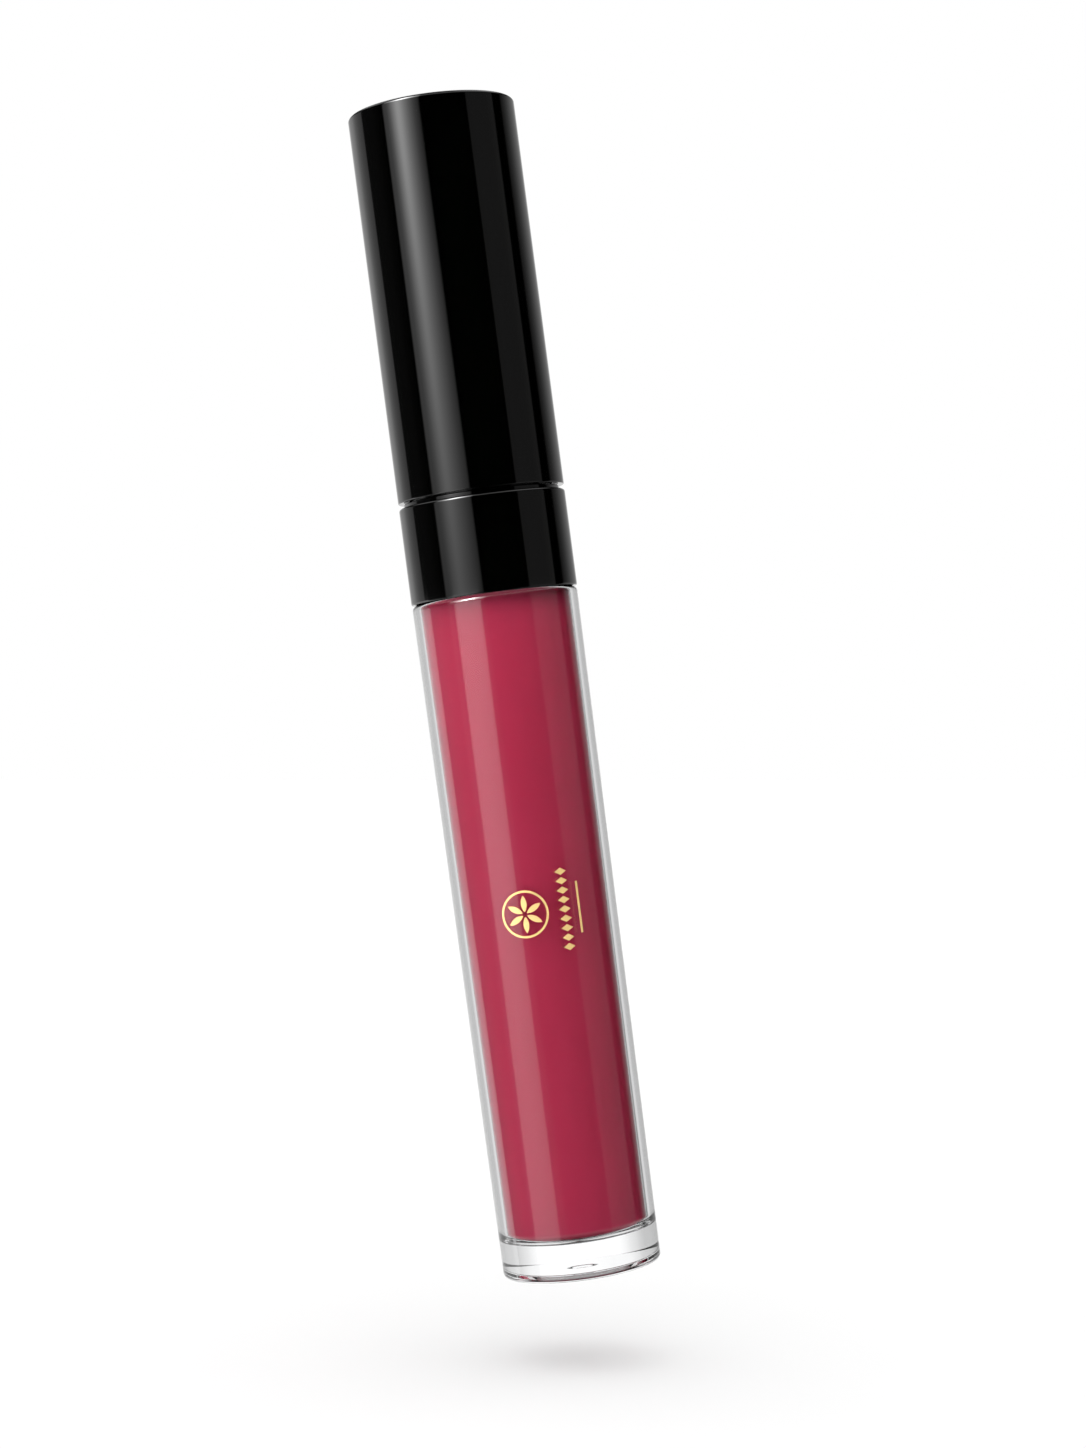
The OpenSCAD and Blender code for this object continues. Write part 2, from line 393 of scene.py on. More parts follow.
@dataclass(frozen=True)
class LipGloss(Finish):
    """Opaque creamy gloss, with slow swirls of slightly different tone."""

    deep: Colour = (0.80, 0.071, 0.160)
    pale: Colour = (0.83, 0.082, 0.180)
    roughness: float = 0.22
    roughness_spread: float = 0.06
    specular: float = 0.0
    ior: float = 1.46
    swirl_scale: float = 160.0
    swirl_stretch: float = 0.3
    fine_scale: float = 2200.0
    # Painted light and shade by height, in millimetres, as a factor on the colour: painted light that
    # grows higher up, and painted shade under the collar, where almost no light reaches it
    painted_light_by_height: tuple[Point, ...] = (
        (0.0, 0.96), (27.0, 1.03), (48.0, 1.06), (66.2, 1.16), (67.4, 1.1), (68.2, 0.92),
        (69.0, 0.62), (69.8, 0.36), (80.0, 0.3),
    )
    # The painted light's greatest factor, and how far the painted light and shade tilt with x
    brightest_painted_light: float = 2.0
    lean: float = 0.05

    def dress(self, graph: Graph, surface: Step) -> None:
        """Sets the swirled colour, scaled by painted light and shade by height, and its wet surface."""
        place = self.stretched(graph, self.place(graph), self.swirl_stretch)
        swirl = self.noise(graph, place, self.swirl_scale, 3.0)
        fine = self.noise(graph, place, self.fine_scale, 2.0)
        tone = graph.ramp(swirl, [(0.3, 0.0), (0.7, 1.0)])
        # Painted light and shade: the colour is scaled by a ramp on height, tilted a little with x
        split = graph.add("ShaderNodeSeparateXYZ", None, {"Vector": self.place(graph)})
        height = split["Z"] + split["X"] * self.lean
        top = self.painted_light_by_height[-1][0]
        stops = [(z / top, v / self.brightest_painted_light) for z, v in self.painted_light_by_height]
        light = graph.ramp(height / (top * MM), stops) * self.brightest_painted_light
        colour = graph.mix(tone, self.deep, self.pale)
        lit = graph.add("ShaderNodeVectorMath", {"operation": "SCALE"}, {0: colour, "Scale": light})
        graph.feed(surface.node, "Base Color", lit["Vector"])
        graph.feed(surface.node, "Roughness", self.roughness + fine * self.roughness_spread)
        graph.feed(surface.node, "IOR", self.ior)
        graph.feed(surface.node, "Specular IOR Level", self.specular)


@dataclass(frozen=True)
class GoldFoil(Finish):
    """Hot-stamped gold foil with a fine pebble."""

    base: Colour = (0.95, 0.66, 0.26)
    shade: float = 0.86
    metallic: float = 0.35
    roughness: float = 0.42
    roughness_spread: float = 0.12
    patch_scale: float = 900.0
    grain: float = 0.000004
    grain_scale: float = 9000.0

    def dress(self, graph: Graph, surface: Step) -> None:
        """Sets a satin gold with grain."""
        place = self.place(graph)
        grain = self.noise(graph, place, self.grain_scale, 3.0)
        patch = self.noise(graph, place, self.patch_scale)
        deep = tuple(c * self.shade for c in self.base)
        smoothest = self.roughness - self.roughness_spread / 2
        graph.feed(surface.node, "Base Color", graph.mix(patch, deep, self.base))
        graph.feed(surface.node, "Metallic", self.metallic)
        graph.feed(surface.node, "Roughness", smoothest + patch * self.roughness_spread)
        graph.feed(surface.node, "Normal", self.bump(graph, grain, self.grain))


@dataclass(frozen=True)
class MouldedPlastic(Finish):
    """Plain moulded plastic, smooth or fine-textured, as it leaves the tool."""

    base: Colour = (0.8, 0.8, 0.78)
    shade: float = 0.9
    mottle_scale: float = 500.0
    roughness: float = 0.4
    roughness_spread: float = 0.1
    grain: float = 0.000002
    grain_scale: float = 5200.0
    through: float = 0.0
    through_depth: float = 0.6 * MM
    through_spread: Colour = (1.0, 0.9, 0.8)

    def dress(self, graph: Graph, surface: Step) -> None:
        """Sets the colour, its slight mottle and the tool's texture."""
        place = self.place(graph)
        mottle = self.noise(graph, place, self.mottle_scale, 3.0)
        texture = self.noise(graph, place, self.grain_scale, 4.0)
        shade = tuple(c * self.shade for c in self.base)
        smoothest = self.roughness - self.roughness_spread / 2
        graph.feed(surface.node, "Base Color", graph.mix(mottle, shade, self.base))
        graph.feed(surface.node, "Roughness", smoothest + texture * self.roughness_spread)
        graph.feed(surface.node, "Normal", self.bump(graph, texture, self.grain))
        if self.through:
            graph.feed(surface.node, "Subsurface Weight", self.through)
            graph.feed(surface.node, "Subsurface Radius", self.through_spread)
            graph.feed(surface.node, "Subsurface Scale", self.through_depth)


@dataclass(frozen=True)
class ClosedCellFoam(Finish):
    """Dense foam with fine closed cells."""

    base: Colour = (0.6, 0.6, 0.58)
    shade: float = 0.72
    cell_scale: float = 5200.0
    cell_depth: float = 0.00003
    roughness: float = 0.75
    roughness_spread: float = 0.1

    def dress(self, graph: Graph, surface: Step) -> None:
        """Sets the cells as a bump and as small shadows."""
        sockets = {"Vector": self.place(graph), "Scale": self.cell_scale}
        cell = graph.add("ShaderNodeTexVoronoi", None, sockets)["Distance"]
        dark = tuple(c * self.shade for c in self.base)
        graph.feed(surface.node, "Base Color", graph.mix(cell, dark, self.base))
        graph.feed(surface.node, "Roughness", self.roughness + cell * self.roughness_spread)
        graph.feed(surface.node, "Normal", self.bump(graph, cell, self.cell_depth))


@dataclass(frozen=True)
class WetFlock(Finish):
    """Short fibres, soaked with gloss and clumped."""

    dry: Colour = (0.38, 0.06, 0.11)
    soaked: Colour = (0.25, 0.016, 0.042)
    clump_scale: float = 1300.0
    dry_roughness: float = 0.6
    soaked_gain: float = 0.35
    sheen: float = 0.3

    def dress(self, graph: Graph, surface: Step) -> None:
        """Sets wet and drier clumps."""
        place = self.place(graph)
        clump = self.noise(graph, place, self.clump_scale, 3.0)
        wet = graph.ramp(clump, [(0.38, 1.0), (0.62, 0.0)])
        graph.feed(surface.node, "Base Color", graph.mix(wet, self.dry, self.soaked))
        graph.feed(surface.node, "Roughness", self.dry_roughness - wet * self.soaked_gain)
        graph.feed(surface.node, "Sheen Weight", self.sheen)


@dataclass(frozen=True)
class GlossStreaks(Finish):
    """A thin film of gloss on the stem, thicker in streaks and beads."""

    thick: Colour = (0.32, 0.02, 0.052)
    streak_scale: float = 900.0
    streak_stretch: float = 0.12
    streak_depth: float = 0.00004
    roughness: float = 0.12
    roughness_spread: float = 0.08

    def dress(self, graph: Graph, surface: Step) -> None:
        """Sets the streaks by how much they cover."""
        place = self.place(graph)
        drawn = self.stretched(graph, place, self.streak_stretch)
        streak = self.noise(graph, drawn, self.streak_scale, 4.0)
        cover = graph.ramp(streak, [(0.36, 0.12), (0.56, 0.92)])
        graph.feed(surface.node, "Base Color", self.thick)
        graph.feed(surface.node, "Alpha", cover)
        graph.feed(surface.node, "Roughness", self.roughness + streak * self.roughness_spread)
        graph.feed(surface.node, "Normal", self.bump(graph, streak, self.streak_depth))


@dataclass(frozen=True)
class PaleFloor(Finish):
    """Matt pale floor with a trace of grain."""

    base: Colour = (0.765, 0.765, 0.765)
    lighter: float = 1.01
    grain_scale: float = 40.0

    def dress(self, graph: Graph, surface: Step) -> None:
        """Sets a matt pale surface."""
        grain = self.noise(graph, self.place(graph), self.grain_scale, 2.0)
        near = tuple(c * self.lighter for c in self.base)
        graph.feed(surface.node, "Base Color", graph.mix(grain, self.base, near))
        graph.feed(surface.node, "Roughness", 1.0)
        graph.feed(surface.node, "Specular IOR Level", 0.0)


BLACK = GlossBlack("gloss_black")
STEM_BLACK = GlossBlack("stem_black", roughness=0.12, ripple=0.0000004)
SHELL_CLEAR = ClearPlastic("shell_clear")
VIAL_CLEAR = ClearPlastic("vial_clear", tint=(0.99, 0.985, 0.985))
GLOSS = LipGloss("raspberry_gloss")
STREAKS = GlossStreaks("gloss_streaks")
GOLD = GoldFoil("satin_gold")
NATURAL = MouldedPlastic("natural_plastic", base=(0.62, 0.615, 0.59), roughness=0.35, through=0.35)
LINER_BLACK = MouldedPlastic("liner_black", base=(0.012, 0.012, 0.013), roughness=0.42)
TIP_PLASTIC = MouldedPlastic("tip_plastic", base=(0.42, 0.15, 0.19), roughness=0.3, through=0.2)
FOAM = ClosedCellFoam("closed_cell_foam")
FLOCK = WetFlock("wet_flock")
FLOOR = PaleFloor("pale_floor")


# ---------------------------------------------------------------- geometry


def arc(r: float, z: float, radius: float, start: float, end: float, steps: int = 10) -> list[Point]:
    """Points along an arc of a half section.

    Args:
        r: The centre's distance from the axis.
        z: The centre's height.
        radius: The arc's radius.
        start: The first angle, in degrees.
        end: The last angle, in degrees.
        steps: How many stretches the arc has.

    Returns:
        The points, in order.
    """
    angles = [math.radians(start + (end - start) * i / steps) for i in range(steps + 1)]
    return [(r + radius * math.cos(a), z + radius * math.sin(a)) for a in angles]


def braced(points: Sequence[Point], closed: bool, margin: float = 0.04) -> list[Point]:
    """Adds a point close to each end of a long straight stretch, so that smooth shading keeps it flat.

    Args:
        points: The section's points.
        closed: Whether the last point joins the first.
        margin: How far the added points stand from the ends.

    Returns:
        The section with the added points.
    """
    out: list[Point] = []
    count = len(points)
    for i, (r, z) in enumerate(points):
        out.append((r, z))
        if i == count - 1 and not closed:
            break
        r2, z2 = points[(i + 1) % count]
        length = math.hypot(r2 - r, z2 - z)
        if length > 6 * margin:
            for share in (margin / length, 1 - margin / length):
                out.append((r + (r2 - r) * share, z + (z2 - z) * share))
    return out


def object_from(mesh: bpy.types.Mesh, name: str) -> bpy.types.Object:
    """Links a new object that shows a mesh.

    Args:
        mesh: The mesh to show.
        name: The object's name.

    Returns:
        The object, at the origin.
    """
    obj = bpy.data.objects.new(name, mesh)
    bpy.context.scene.collection.objects.link(obj)
    return obj


def flat_mesh(name: str, points: Sequence[Vector], edges: Sequence, faces: Sequence) -> bpy.types.Object:
    """Links a new object made from points.

    Args:
        name: The object's name.
        points: Its vertices.
        edges: Its edges, if it has no faces.
        faces: Its faces.

    Returns:
        The object.
    """
    mesh = bpy.data.meshes.new(name)
    mesh.from_pydata([tuple(p) for p in points], list(edges), list(faces))
    return object_from(mesh, name)


def finished(source: bpy.types.Object, sharp: float = 38.0) -> bpy.types.Object:
    """Turns an object with modifiers into a plain, welded, smooth-shaded one of the same name.

    Args:
        source: The object, which is removed.
        sharp: Edges that turn by more than this many degrees stay sharp.

    Returns:
        The plain object.
    """
    graph = bpy.context.evaluated_depsgraph_get()
    mesh = bpy.data.meshes.new_from_object(source.evaluated_get(graph))
    name = source.name
    bpy.data.objects.remove(source)
    shape = bmesh.new()
    shape.from_mesh(mesh)
    bmesh.ops.remove_doubles(shape, verts=shape.verts, dist=WELD)
    bmesh.ops.dissolve_degenerate(shape, edges=shape.edges, dist=SLIVER)
    bmesh.ops.recalc_face_normals(shape, faces=shape.faces)
    for face in shape.faces:
        face.smooth = True
        face.material_index = 0
    shape.to_mesh(mesh)
    shape.free()
    mesh.set_sharp_from_angle(angle=math.radians(sharp))
    mesh.name = name
    return object_from(mesh, name)


class GeometryTree:
    """A Geometry Nodes tree with named inputs, run once on an object and then removed."""

    name = "tree"
    inputs: Mapping[str, tuple[str, object]] = {}

    def __init__(self) -> None:
        """Builds the tree: named inputs, the maker's nodes, then Realize Instances and Set Material."""
        tree = bpy.data.node_groups.new(self.name, "GeometryNodeTree")
        self.graph = Graph(tree)
        self.sockets: dict[str, str] = {}
        self._input("Geometry", "NodeSocketGeometry", None)
        for label, (kind, default) in self.inputs.items():
            self._input(label, kind, default)
        self._input("Finish", "NodeSocketMaterial", None)
        tree.interface.new_socket("Geometry", in_out="OUTPUT", socket_type="NodeSocketGeometry")
        self.given = self.graph.add("NodeGroupInput")
        made = self.build()
        real = self.graph.add("GeometryNodeRealizeInstances", None, {"Geometry": made})
        sockets = {"Geometry": real["Geometry"], "Material": self.given["Finish"]}
        dressed = self.graph.add("GeometryNodeSetMaterial", None, sockets)
        self.graph.add("NodeGroupOutput", None, {"Geometry": dressed["Geometry"]})

    def _input(self, label: str, kind: str, default: object) -> None:
        """Adds one named input.

        Args:
            label: The input's name.
            kind: Its socket type.
            default: Its default value, or None.
        """
        socket = self.graph.tree.interface.new_socket(label, in_out="INPUT", socket_type=kind)
        if default is not None:
            socket.default_value = default
        self.sockets[label] = socket.identifier

    def build(self) -> Value:
        """Adds the tree's own nodes and returns the geometry that they make."""
        raise NotImplementedError

    def run(self, source: bpy.types.Object, finish: Finish, **values: object) -> bpy.types.Object:
        """Runs the tree on an object.

        Args:
            source: The object that goes in, which is removed.
            finish: The finish of the result.
            values: Inputs by name, with an underscore for each space.

        Returns:
            The plain object that comes out.
        """
        modifier = source.modifiers.new(self.name, "NODES")
        modifier.node_group = self.graph.tree
        modifier[self.sockets["Finish"]] = finish.material()
        for key, value in values.items():
            modifier[self.sockets[key.replace("_", " ")]] = value
        source.update_tag()
        piece = finished(source)
        piece.data.materials.clear()
        piece.data.materials.append(finish.material())
        return piece


class RevolveTree(GeometryTree):
    """Turns a half section, drawn with x outwards and y up, about the Z axis."""

    name = "revolve"
    inputs = {
        "Segments": ("NodeSocketInt", 192),
        "Path Radius": ("NodeSocketFloat", 1 * MM),
    }

    def build(self) -> Value:
        """Sweeps the section along a circle and closes its poles."""
        graph, given = self.graph, self.given
        inset = graph.maths(Maths.MULTIPLY, given["Path Radius"], -1.0)
        offset = graph.add("ShaderNodeCombineXYZ", None, {"X": inset})
        sockets = {
            "Geometry": given["Geometry"],
            "Translation": offset["Vector"],
            "Scale": (1.0, -1.0, 1.0),
        }
        section = graph.add("GeometryNodeTransform", None, sockets)
        profile = graph.add("GeometryNodeMeshToCurve", None, {"Mesh": section["Geometry"]})
        sockets = {"Resolution": given["Segments"], "Radius": given["Path Radius"]}
        circle = graph.add("GeometryNodeCurvePrimitiveCircle", None, sockets)
        upright = graph.add("GeometryNodeSetCurveNormal", {"mode": "Z_UP"}, {"Curve": circle["Curve"]})
        sockets = {"Curve": upright["Curve"], "Profile Curve": profile["Curve"]}
        swept = graph.add("GeometryNodeCurveToMesh", None, sockets)
        sockets = {"Geometry": swept["Mesh"], "Distance": WELD}
        return graph.add("GeometryNodeMergeByDistance", None, sockets)["Geometry"]

    def turn(
        self, name: str, section: Sequence[Point], finish: Finish, segments: int = 192
    ) -> bpy.types.Object:
        """Makes a solid of revolution.

        Args:
            name: The piece's name.
            section: The half section in millimetres. It closes on itself unless it ends on the axis.
            finish: The piece's finish.
            segments: How many flats the round has.

        Returns:
            The piece.
        """
        closed = section[0][0] > 0
        points = braced(section, closed)
        count = len(points)
        edges = [(i, (i + 1) % count) for i in range(count if closed else count - 1)]
        source = flat_mesh(name, [Vector((r, z, 0)) * MM for r, z in points], edges, [])
        return self.run(source, finish, Segments=segments)


class ThreadTree(GeometryTree):
    """Sweeps a ridge's section, drawn with x outwards, along a right-handed helix."""

    name = "thread"
    inputs = {
        "Root Radius": ("NodeSocketFloat", 5 * MM),
        "Pitch": ("NodeSocketFloat", 3 * MM),
        "Turns": ("NodeSocketFloat", 1.5),
        "Start Height": ("NodeSocketFloat", 0.0),
        "Steps": ("NodeSocketInt", 72),
        "Run Out": ("NodeSocketFloat", 0.08),
    }

    def build(self) -> Value:
        """Makes the helix, tapers the ridge at its ends and sweeps it."""
        graph, given = self.graph, self.given
        sockets = {
            "Resolution": given["Steps"],
            "Rotations": given["Turns"],
            "Start Radius": given["Root Radius"],
            "End Radius": given["Root Radius"],
            "Height": given["Pitch"] * given["Turns"],
        }
        helix = graph.add("GeometryNodeCurveSpiral", None, sockets)
        upright = graph.add("GeometryNodeSetCurveNormal", {"mode": "Z_UP"}, {"Curve": helix["Curve"]})
        along = graph.add("GeometryNodeSplineParameter")["Factor"]
        nearest = along.apply(Maths.MINIMUM, 1.0 - along)
        end_size = 0.35
        size = nearest / given["Run Out"] * (1.0 - end_size) + end_size
        size = size.apply(Maths.MINIMUM, 1.0)
        profile = graph.add("GeometryNodeMeshToCurve", None, {"Mesh": given["Geometry"]})
        sockets = {
            "Curve": upright["Curve"],
            "Profile Curve": profile["Curve"],
            "Scale": size,
            "Fill Caps": True,
        }
        ridge = graph.add("GeometryNodeCurveToMesh", None, sockets)
        lift = graph.add("ShaderNodeCombineXYZ", None, {"Z": given["Start Height"]})
        sockets = {"Geometry": ridge["Mesh"], "Translation": lift["Vector"]}
        return graph.add("GeometryNodeTransform", None, sockets)["Geometry"]


class PrintTree(GeometryTree):
    """Repeats a flat shape in a ring or a row, thickens it and lays it on a drafted round wall."""

    name = "foil_print"
    copy_weld = 0.002 * MM
    inputs = {
        "Count": ("NodeSocketInt", 1),
        "Pitch": ("NodeSocketFloat", 0.0),
        "Turn Step": ("NodeSocketFloat", 0.0),
        "Direction": ("NodeSocketFloat", 0.0),
        "Middle Height": ("NodeSocketFloat", 0.0),
        "Wall Radius": ("NodeSocketFloat", 8 * MM),
        "Draft": ("NodeSocketFloat", 0.0),
        "Thickness": ("NodeSocketFloat", 0.05 * MM),
    }

    def build(self) -> Value:
        """Places the copies, closes them as a leaf of foil and bends them round the wall."""
        graph, given = self.graph, self.given
        step = graph.add("ShaderNodeCombineXYZ", None, {"Y": given["Pitch"]})
        start = graph.add(
            "ShaderNodeCombineXYZ", None, {"Y": (given["Count"] - 1.0) * given["Pitch"] * -0.5}
        )
        sockets = {
            "Count": given["Count"],
            "Start Location": start["Vector"],
            "Offset": step["Vector"],
        }
        row = graph.add("GeometryNodeMeshLine", None, sockets)
        order = graph.add("GeometryNodeInputIndex")["Index"]
        turn = graph.add("ShaderNodeCombineXYZ", None, {"Z": order * given["Turn Step"]})
        sockets = {
            "Points": row["Mesh"],
            "Instance": given["Geometry"],
            "Rotation": turn["Vector"],
        }
        copies = graph.add("GeometryNodeInstanceOnPoints", None, sockets)
        real = graph.add("GeometryNodeRealizeInstances", None, {"Geometry": copies["Instances"]})
        welded = graph.add(
            "GeometryNodeMergeByDistance",
            None,
            {"Geometry": real["Geometry"], "Distance": self.copy_weld},
        )["Geometry"]
        sockets = {"Mesh": welded, "Offset Scale": given["Thickness"], "Individual": False}
        top = graph.add("GeometryNodeExtrudeMesh", {"mode": "FACES"}, sockets)
        under = graph.add("GeometryNodeFlipFaces", None, {"Mesh": welded})
        leaf = graph.add("GeometryNodeJoinGeometry")
        for part in (top["Mesh"], under["Mesh"]):
            graph.feed(leaf.node, "Geometry", part)
        return self._wrapped(leaf["Geometry"])

    def _wrapped(self, leaf: Value) -> Value:
        """Bends flat foil round the wall.

        Args:
            leaf: The flat foil, with x to the right, y up and z outwards.

        Returns:
            The bent foil.
        """
        graph, given = self.graph, self.given
        here = graph.add("GeometryNodeInputPosition")
        split = graph.add("ShaderNodeSeparateXYZ", None, {"Vector": here["Position"]})
        angle = given["Direction"] + split["X"] / given["Wall Radius"]
        radius = given["Wall Radius"] + given["Draft"] * split["Y"] + split["Z"]
        sockets = {
            "X": radius * angle.apply(Maths.SINE),
            "Y": radius * angle.apply(Maths.COSINE) * -1.0,
            "Z": given["Middle Height"] + split["Y"],
        }
        there = graph.add("ShaderNodeCombineXYZ", None, sockets)
        sockets = {"Geometry": leaf, "Position": there["Vector"]}
        return graph.add("GeometryNodeSetPosition", None, sockets)["Geometry"]


class FlockTree(GeometryTree):
    """Grows short tapered fibres out of a skin."""

    name = "flock"
    tip_share = 0.25
    shortest = 0.6
    longest = 1.1
    inputs = {
        "Fibres Per Square Metre": ("NodeSocketFloat", 30e6),
        "Fibre Length": ("NodeSocketFloat", 0.3 * MM),
        "Fibre Radius": ("NodeSocketFloat", 0.02 * MM),
        "Lean": ("NodeSocketFloat", 0.5),
        "Seed": ("NodeSocketInt", 7),
    }

    def build(self) -> Value:
        """Scatters the fibres over the skin with a fixed seed, each leaning its own way."""
        graph, given = self.graph, self.given
        sockets = {
            "Mesh": given["Geometry"],
            "Density": given["Fibres Per Square Metre"],
            "Seed": given["Seed"],
        }
        roots = graph.add("GeometryNodeDistributePointsOnFaces", None, sockets)
        sockets = {
            "Vertices": 3,
            "Radius Top": given["Fibre Radius"] * self.tip_share,
            "Radius Bottom": given["Fibre Radius"],
            "Depth": given["Fibre Length"],
        }
        fibre = graph.add("GeometryNodeMeshCone", {"fill_type": "TRIANGLE_FAN"}, sockets)
        lean = given["Lean"]
        low = graph.add("ShaderNodeCombineXYZ", None, {"X": lean * -1.0, "Y": lean * -1.0})
        high = graph.add("ShaderNodeCombineXYZ", None, {"X": lean, "Y": lean, "Z": math.tau})
        sockets = {"Min": low["Vector"], "Max": high["Vector"], "Seed": given["Seed"]}
        own = graph.add("FunctionNodeRandomValue", {"data_type": "FLOAT_VECTOR"}, sockets)
        sockets = {"Rotation": roots["Rotation"], "Rotate By": own["Value"]}
        way = graph.add("FunctionNodeRotateRotation", {"rotation_space": "LOCAL"}, sockets)
        sockets = {"Min": self.shortest, "Max": self.longest, "Seed": given["Seed"]}
        length = graph.add("FunctionNodeRandomValue", {"data_type": "FLOAT"}, sockets)
        sockets = {
            "Points": roots["Points"],
            "Instance": fibre["Mesh"],
            "Rotation": way["Rotation"],
            "Scale": length["Value"],
        }
        coat = graph.add("GeometryNodeInstanceOnPoints", None, sockets)
        both = graph.add("GeometryNodeJoinGeometry")
        for part in (coat["Instances"], given["Geometry"]):
            graph.feed(both.node, "Geometry", part)
        return both["Geometry"]


@dataclass
class Workshop:
    """The trees that the sub-assemblies share."""

    revolve: RevolveTree = field(default_factory=RevolveTree)
    thread: ThreadTree = field(default_factory=ThreadTree)
    foil: PrintTree = field(default_factory=PrintTree)
    flock: FlockTree = field(default_factory=FlockTree)


def settle(piece: bpy.types.Object, body: Body, slot: str, *nodes: str) -> bpy.types.Object:
    """Makes a piece ride on its body and stand for its frame nodes.

    Args:
        piece: The finished piece.
        body: The body that it moves with.
        slot: The record's material slot. It is not used.
        nodes: The frame nodes that it stands for.

    Returns:
        The piece.
    """
    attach(piece, body.value)
    if nodes:
        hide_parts(*nodes)
    log.info("%s rides on %s, %d faces", piece.name, body.value, len(piece.data.polygons))
    return piece


def dress_node(node: str, finish: Finish) -> None:
    """Gives a frame node that stays a finish.

    Args:
        node: The node's name.
        finish: Its finish.
    """
    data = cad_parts[node].data
    data.materials.clear()
    data.materials.append(finish.material())
    log.info("%s keeps its own mesh, in %s", node, finish.name)


# ---------------------------------------------------------------- sub-assemblies


@dataclass
class ClearShell:
    """The drafted outer tube with its thick base. Sizes are in millimetres."""

    top_r: float = 8.55
    base_r: float = 8.14
    base_edge: float = 0.45
    shoulder_edge: float = 0.6
    floor: float = 3.6
    cavity_top_r: float = 7.8
    cavity_base_r: float = 7.3
    cavity_edge: float = 1.1
    dish_r: float = 5.65
    dish_draft: float = 0.2
    dish_depth: float = 0.5
    gate_r: float = 1.05
    gate_height: float = 0.3
    height: float = field(default_factory=lambda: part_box("outer_shell")[1].z / MM)

    def radius(self, z: float) -> float:
        """Returns the outer radius at a height."""
        return self.base_r + (self.top_r - self.base_r) * z / self.height

    def section(self) -> list[Point]:
        """Returns the shell's half section, from the gate mark round to the cavity's floor."""
        soft = 0.1
        gate = self.dish_depth - self.gate_height
        wall = self.dish_r - self.dish_draft
        return [
            (0.0, gate),
            *arc(self.gate_r - soft, gate + soft, soft, -90, 0, 5),
            *arc(self.gate_r + soft, self.dish_depth - soft, soft, 180, 90, 5),
            *arc(wall - soft, self.dish_depth - soft, soft, 90, 0, 5),
            *arc(self.dish_r + soft, soft, soft, 180, 270, 5),
            *arc(self.base_r - self.base_edge, self.base_edge, self.base_edge, -90, 0),
            *arc(
                self.top_r - self.shoulder_edge,
                self.height - self.shoulder_edge,
                self.shoulder_edge,
                0,
                90,
            ),
            (self.cavity_top_r, self.height),
            *arc(
                self.cavity_base_r - self.cavity_edge,
                self.floor + self.cavity_edge,
                self.cavity_edge,
                0,
                -90,
            ),
            (0.0, self.floor),
        ]

    def make(self, shop: Workshop) -> None:
        """Turns the shell.

        Args:
            shop: The shared trees.
        """
        piece = shop.revolve.turn("clear_shell", self.section(), SHELL_CLEAR, 256)
        settle(piece, Body.TUBE, "clear_plastic", "outer_shell")


